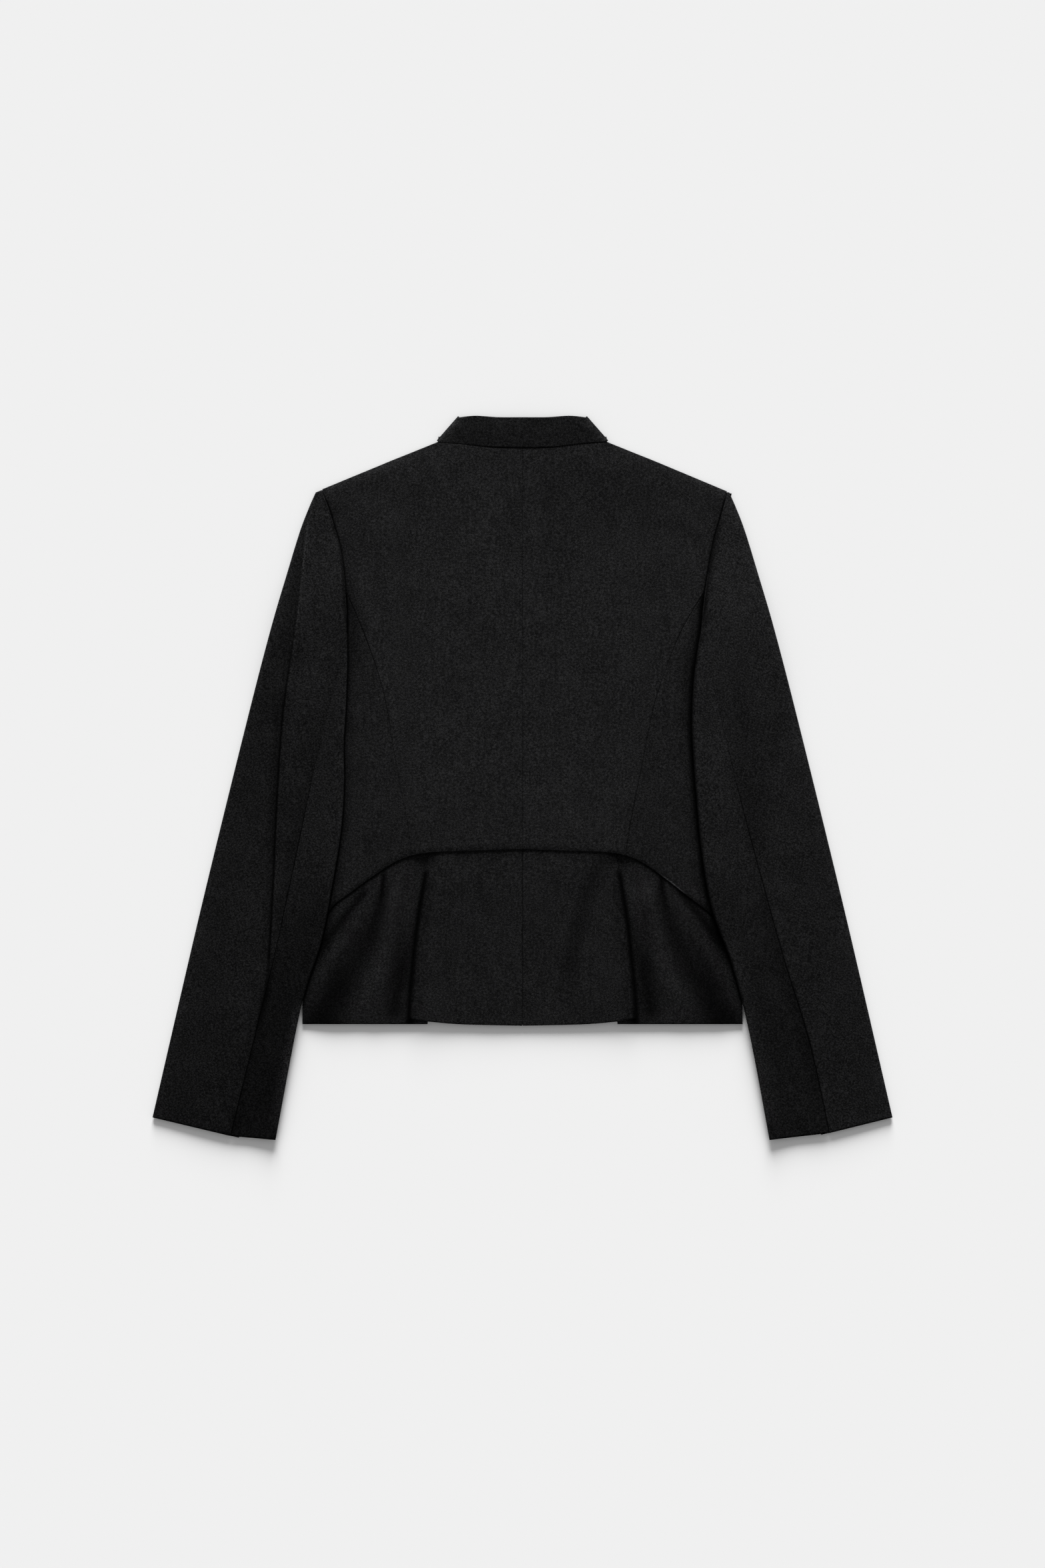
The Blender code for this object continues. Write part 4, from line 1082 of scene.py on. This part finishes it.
# Sleeves
def sleeve_lines(side):
    """Seam line and outer edge of the top sleeve, read by row: the head's rows, then the arm's."""
    head_top = SHOULDER_TIP[side.name].y - HEAD_BELOW
    heights = np.linspace(head_top, SLEEVE_HEAD_END, HEAD_ROWS + 1)[:-1]
    places = [Place(float(armhole_edge(y, side)) + SEAM_GAP, y) for y in heights]
    armhole = path_through(places + [SLEEVE_SEAM[side.name][0]])
    seam = path_through(SLEEVE_SEAM[side.name])
    outer = path_through(SLEEVE_OUTER)

    def seam_at(row):
        late = (row - HEAD_ROWS) / ARM_ROWS
        return np.where((row <= HEAD_ROWS)[..., None], armhole(row / HEAD_ROWS), seam(late))

    def outer_at(row):
        late = mix(HEAD_SHARE, 1.0, (row - HEAD_ROWS) / ARM_ROWS)
        return outer(np.where(row <= HEAD_ROWS, HEAD_SHARE * row / HEAD_ROWS, late))

    return seam_at, outer_at


def flattened_turn(seam, edge, height, step, stop):
    """Plan and rise across one flattened half of a sleeve: over the top, round its edge, back beneath.

    step runs from 0 to 1 over the top wall, to 2 round the edge and to 3 along the wall beneath, which stops
    a distance past the line of the upper seam.
    """
    across = edge - seam
    reach = np.linalg.norm(across, axis=-1)
    across = across / reach[..., None]
    radius = np.minimum(height, TURN_LIMIT * reach)
    share = np.where(step <= 1.0, step, 1.0 - np.clip(step - 2.0, 0.0, 1.0))
    angle = turn_angle(step)
    out = (reach - radius) * share + radius * np.cos(angle) * ((step > 1.0) & (step < 2.0))
    out = out + stop * np.clip(step - 2.0, 0.0, 1.0)
    return seam + across * out[..., None], height * (1.0 + np.sin(angle)), share


def lower_seam_shift(side, seam, down):
    """How far the seam under a sleeve lies inside the line of its upper seam."""
    width = np.linalg.norm(path_through(SLEEVE_INNER[side.name])(down) - seam, axis=-1)
    return np.minimum(LOWER_SEAM_SHIFT, LOWER_SEAM_LIMIT * width) * ramp(down, start=0.0, run=0.08)


def sleeve_half(side, seam, edge, radius, step, stop, crown, seed, opened):
    """Places and heights of a sleeve's half, with its folds, its rolled seam and its cuff."""
    away = edge - seam
    away = away / np.linalg.norm(away, axis=-1, keepdims=True)
    start = seam + away * opened[..., None] * SEAM_GAP / 2
    places, rise, share = flattened_turn(start, edge, radius, step, stop)
    x, y = side.sign * places[..., 0], places[..., 1]
    edges = edge_distances(places)
    detail = crown * (1.0 - share ** 2) + sum(fold_height(x, y, fold) for fold in SLEEVE_FOLDS[side.name])
    detail = detail + uneven(x, y, height=0.00025, length=0.055, seed=seed)
    detail = detail + pucker(edges.left, y, seed + 1)
    detail = detail - rolled(edges.left, SEAM_ROLL, opened) - rolled(edges.high, HEM_ROLL)
    return places, sleeve_rest(x, y) + rise + upper(step) * detail


def sleeve_tone_and_shade(kind, side, places):
    """Tone and painted shade of a sleeve's half, without the painted light and shade of its own edges."""
    x, y = side.sign * places[..., 0], places[..., 1]
    return tone(kind + side.name, y) * cuff_shade(places) * shaded(x, y, SLEEVE_SHADES[side.name])


def make_top_sleeve(side, material):
    """Outer half of the sleeve, from the shoulder point to the cuff."""
    seam_at, outer_at = sleeve_lines(side)
    head_part = np.linspace(0.0, HEAD_ROWS, num=57)[:-1]
    arm_part = HEAD_ROWS + ARM_ROWS * graded(count=150, length=0.480, start=False)
    columns = turned_lines(graded(count=110, length=0.070, end=False), returning=12)
    step, row = np.meshgrid(columns, np.concatenate([head_part, arm_part]))
    seam, edge = seam_at(row), outer_at(row)
    radius = mix(SLEEVE_TIP_TURN, SLEEVE_TURN, ramp(row, start=0.0, run=2.0))
    shift = lower_seam_shift(side, seam, np.clip((row - HEAD_ROWS) / ARM_ROWS, 0.0, 1.0))
    opened = np.where(row <= HEAD_ROWS, 1.0, sleeve_opened(seam))
    crown = SLEEVE_CROWN * ease(row / HEAD_ROWS)
    places, z = sleeve_half(side, seam, edge, radius, step, -shift, crown, 41 + side.sign, opened)
    from_seam = edge_distances(places).left
    seat = bodice_top(seam[:, :1, 0], seam[:, :1, 1], side)
    stand = np.maximum(z[:, :1] - seat - HEAD_SEAT, 0.0) * ramp(row[:, :1], HEAD_ROWS, run=-1.5)
    z = z - rolled(from_seam, Roll(stand, HEAD_ROLL))
    # Painted highlight along the outer edge and painted shade on the sleeve head beside the armhole
    rim = np.linalg.norm(places - edge, axis=-1)
    nap = sleeve_tone_and_shade("top_sleeve_", side, places) * dimmed(rim, strength=-0.20, width=0.012)
    along_head = ramp(row, start=0.6, run=1.6) * ramp(row, start=HEAD_ROWS + 0.6, run=-1.6)
    shade = HEAD_SHADE[side.name]
    nap = nap * dimmed(from_seam, shade.strength * along_head, shade.width)
    cloth("top_sleeve_" + side.name, with_height(places, z, side.sign), nap, material, upward=(0.5, 0.1))


def make_under_sleeve(side, material):
    """Inner half of the sleeve, from the underarm to the cuff."""
    seam_at, _ = sleeve_lines(side)
    columns = turned_lines(graded(count=110, length=0.050, end=False), returning=12)
    step, down = np.meshgrid(columns, graded(count=150, length=0.480, start=False))
    seam = seam_at(HEAD_ROWS + ARM_ROWS * np.maximum(down, 1e-6))
    edge = path_through(SLEEVE_INNER[side.name])(down)
    shift = lower_seam_shift(side, seam, down)
    opened = sleeve_opened(seam)
    places, z = sleeve_half(side, seam, edge, SLEEVE_TURN, step, shift, SLEEVE_CROWN, 51 + side.sign, opened)
    # Painted highlight along the folded inner edge, painted shade there on the right above the hem
    rim = np.linalg.norm(places - edge, axis=-1)
    light = mix(LOW_RIM_LIGHT, RIM_LIGHT[side.name], ramp(places[..., 1], SIDE_HEM, run=0.030))
    nap = sleeve_tone_and_shade("under_sleeve_", side, places) * dimmed(rim, -light, width=0.0035)
    cloth("under_sleeve_" + side.name, with_height(places, z, side.sign), nap, material, upward=(0.5, 0.1))


# Collar
def collar_plan(step, sign, up):
    """Places of the collar and its base. step runs to 1 over the back, to 2 round its end, to 3 in front."""
    base_back, top_back = path_through(NECK_SEAM), path_through(COLLAR_TOP_BACK)
    base_front, top_front = path_through(COLLAR_BASE_FRONT), path_through(COLLAR_TOP_FRONT)
    end = top_back(1.0) - base_back(1.0)
    outward = np.array([end[1], -end[0]]) / np.linalg.norm(end)
    turning = ((step > 1.0) & (step < 2.0))[..., None]
    shift = outward * (COLLAR_TURN * np.cos(turn_angle(step)))[..., None] * turning
    front = (step >= 2.0)[..., None]
    base = np.where(front, base_front(step - 2.0), base_back(step)) + shift
    top = np.where(front, top_front(step - 2.0), top_back(step)) + shift
    for line in (base, top):
        line[..., 0] = np.where(step > 2.5, np.maximum(line[..., 0], SEAM_GAP / 2), line[..., 0])
    closed = ramp(step, start=0.45, run=0.40) * (step <= 1.0) * (sign < 0)
    seam = SEAM_GAP * mix(1.0, COLLAR_CLOSED, closed) / np.linalg.norm(top - base, axis=-1)
    return mix(base, top, mix(seam, 1.0, up)[..., None]), base


def by_side(values, sign):
    """The value of each place's side."""
    return np.where(sign < 0, values["left"], values["right"])


def make_collar(material):
    """Stand collar: one band from the centre front round the back of the neck to the centre front."""
    half = turned_lines(np.linspace(0.0, 1.0, num=41), returning=30)
    signed, up = np.meshgrid(np.concatenate([-half[:0:-1], half]), graded(count=16, length=0.030))
    step, sign = np.abs(signed), np.where(signed < 0, -1.0, 1.0)
    places, base = collar_plan(step, sign, up)
    x, y = sign * places[..., 0], places[..., 1]
    edges = edge_distances(places)
    neck_z = bodice_top(base[..., 0], base[..., 1], SIDES[0])
    back_z = mix(neck_z, 2 * COLLAR_TURN, np.clip(step, 0.0, 1.0) ** 2)
    z = np.where(step <= 1.0, back_z, COLLAR_TURN * (1.0 + np.sin(turn_angle(step))))
    detail = COLLAR_BULGE * bell(up - 0.5, width=0.6) + uneven(x, y, height=0.00018, length=0.03, seed=61)
    detail = detail - rolled(edges.low, SEAM_ROLL) - rolled(edges.high, HEM_ROLL)
    z = z + ease(2.0 - step) * detail
    # Painted shade along the neck seam and painted highlights where the collar turns round its ends
    along_neck = ramp(step, start=by_side(COLLAR_SHADE_END, sign), run=-0.3)
    nap = tone("collar", y) * dimmed(edges.low, NECK_SHADE.strength * along_neck, NECK_SHADE.width)
    end_light = by_side(COLLAR_LIGHT, sign) * mix(*COLLAR_LIGHT_SPAN, up)
    nap = nap * dimmed(step, -end_light, width=0.16, at=1.0)
    nap = nap * dimmed(step, strength=-0.90, width=0.18, at=1.1)
    cloth("collar", np.stack([x, y, z], -1), nap, material)


# Floor, light and camera
def make_floor():
    material, tree, shader = new_material("pale_floor")
    set_inputs(tree, shader, Base_Color=(0.88, 0.88, 0.88, 1.0), Roughness=1.0, Specular_IOR_Level=0.0)
    corners = [(x * FLOOR_REACH, y * FLOOR_REACH, 0.0) for x, y in ((-1, -1), (1, -1), (1, 1), (-1, 1))]
    floor = add_object("floor", corners, [(0, 1, 2, 3)], material)
    floor.location.z = -FLOOR_DROP


def make_light():
    scene = bpy.context.scene
    world = bpy.data.worlds.new("studio")
    world.use_nodes = True
    sky = world.node_tree.nodes["Background"]
    sky.inputs["Color"].default_value = (1.0, 1.0, 1.0, 1.0)
    sky.inputs["Strength"].default_value = SKY
    scene.world = world
    lamp = bpy.data.lights.new("key", "SUN")
    lamp.energy = SUN
    lamp.angle = math.radians(SUN_BREADTH)
    key = bpy.data.objects.new("key", lamp)
    key.rotation_euler = (math.radians(SUN_HEIGHT - 90.0), 0.0, 0.0)
    scene.collection.objects.link(key)
    scene.view_settings.view_transform = "Standard"


def make_camera():
    lens = bpy.data.cameras.new("photo")
    lens.sensor_fit = "VERTICAL"
    lens.sensor_height = SENSOR
    lens.lens = SENSOR * CAMERA_HEIGHT / (PHOTO_ROWS * PIXEL)
    lens.clip_end = 5 * CAMERA_HEIGHT
    camera = bpy.data.objects.new("photo", lens)
    camera.location = (0.0, CAMERA_Y, CAMERA_HEIGHT)
    bpy.context.scene.collection.objects.link(camera)
    bpy.context.scene.camera = camera


def main():
    body = wool("wool_body", grain=0.0)
    flank = wool("wool_flank", grain=4.0)
    band = wool("wool_collar", grain=90.0)
    sleeve = {
        "right": wool("wool_sleeve_right", grain=13.0, contrast=1.15),
        "left": wool("wool_sleeve_left", grain=-13.0, contrast=1.25),
    }
    sewing = [make_allowances(body), make_thread()]
    for side in SIDES:
        make_back(side, body)
        make_back_side(side, flank)
        make_front(side, body)
        make_peplum_back(side, body)
        make_peplum_side(side, flank)
        make_peplum_front(side, body)
        make_top_sleeve(side, sleeve[side.name])
        make_under_sleeve(side, sleeve[side.name])
    make_collar(band)
    make_floor()
    make_light()
    make_camera()


main()
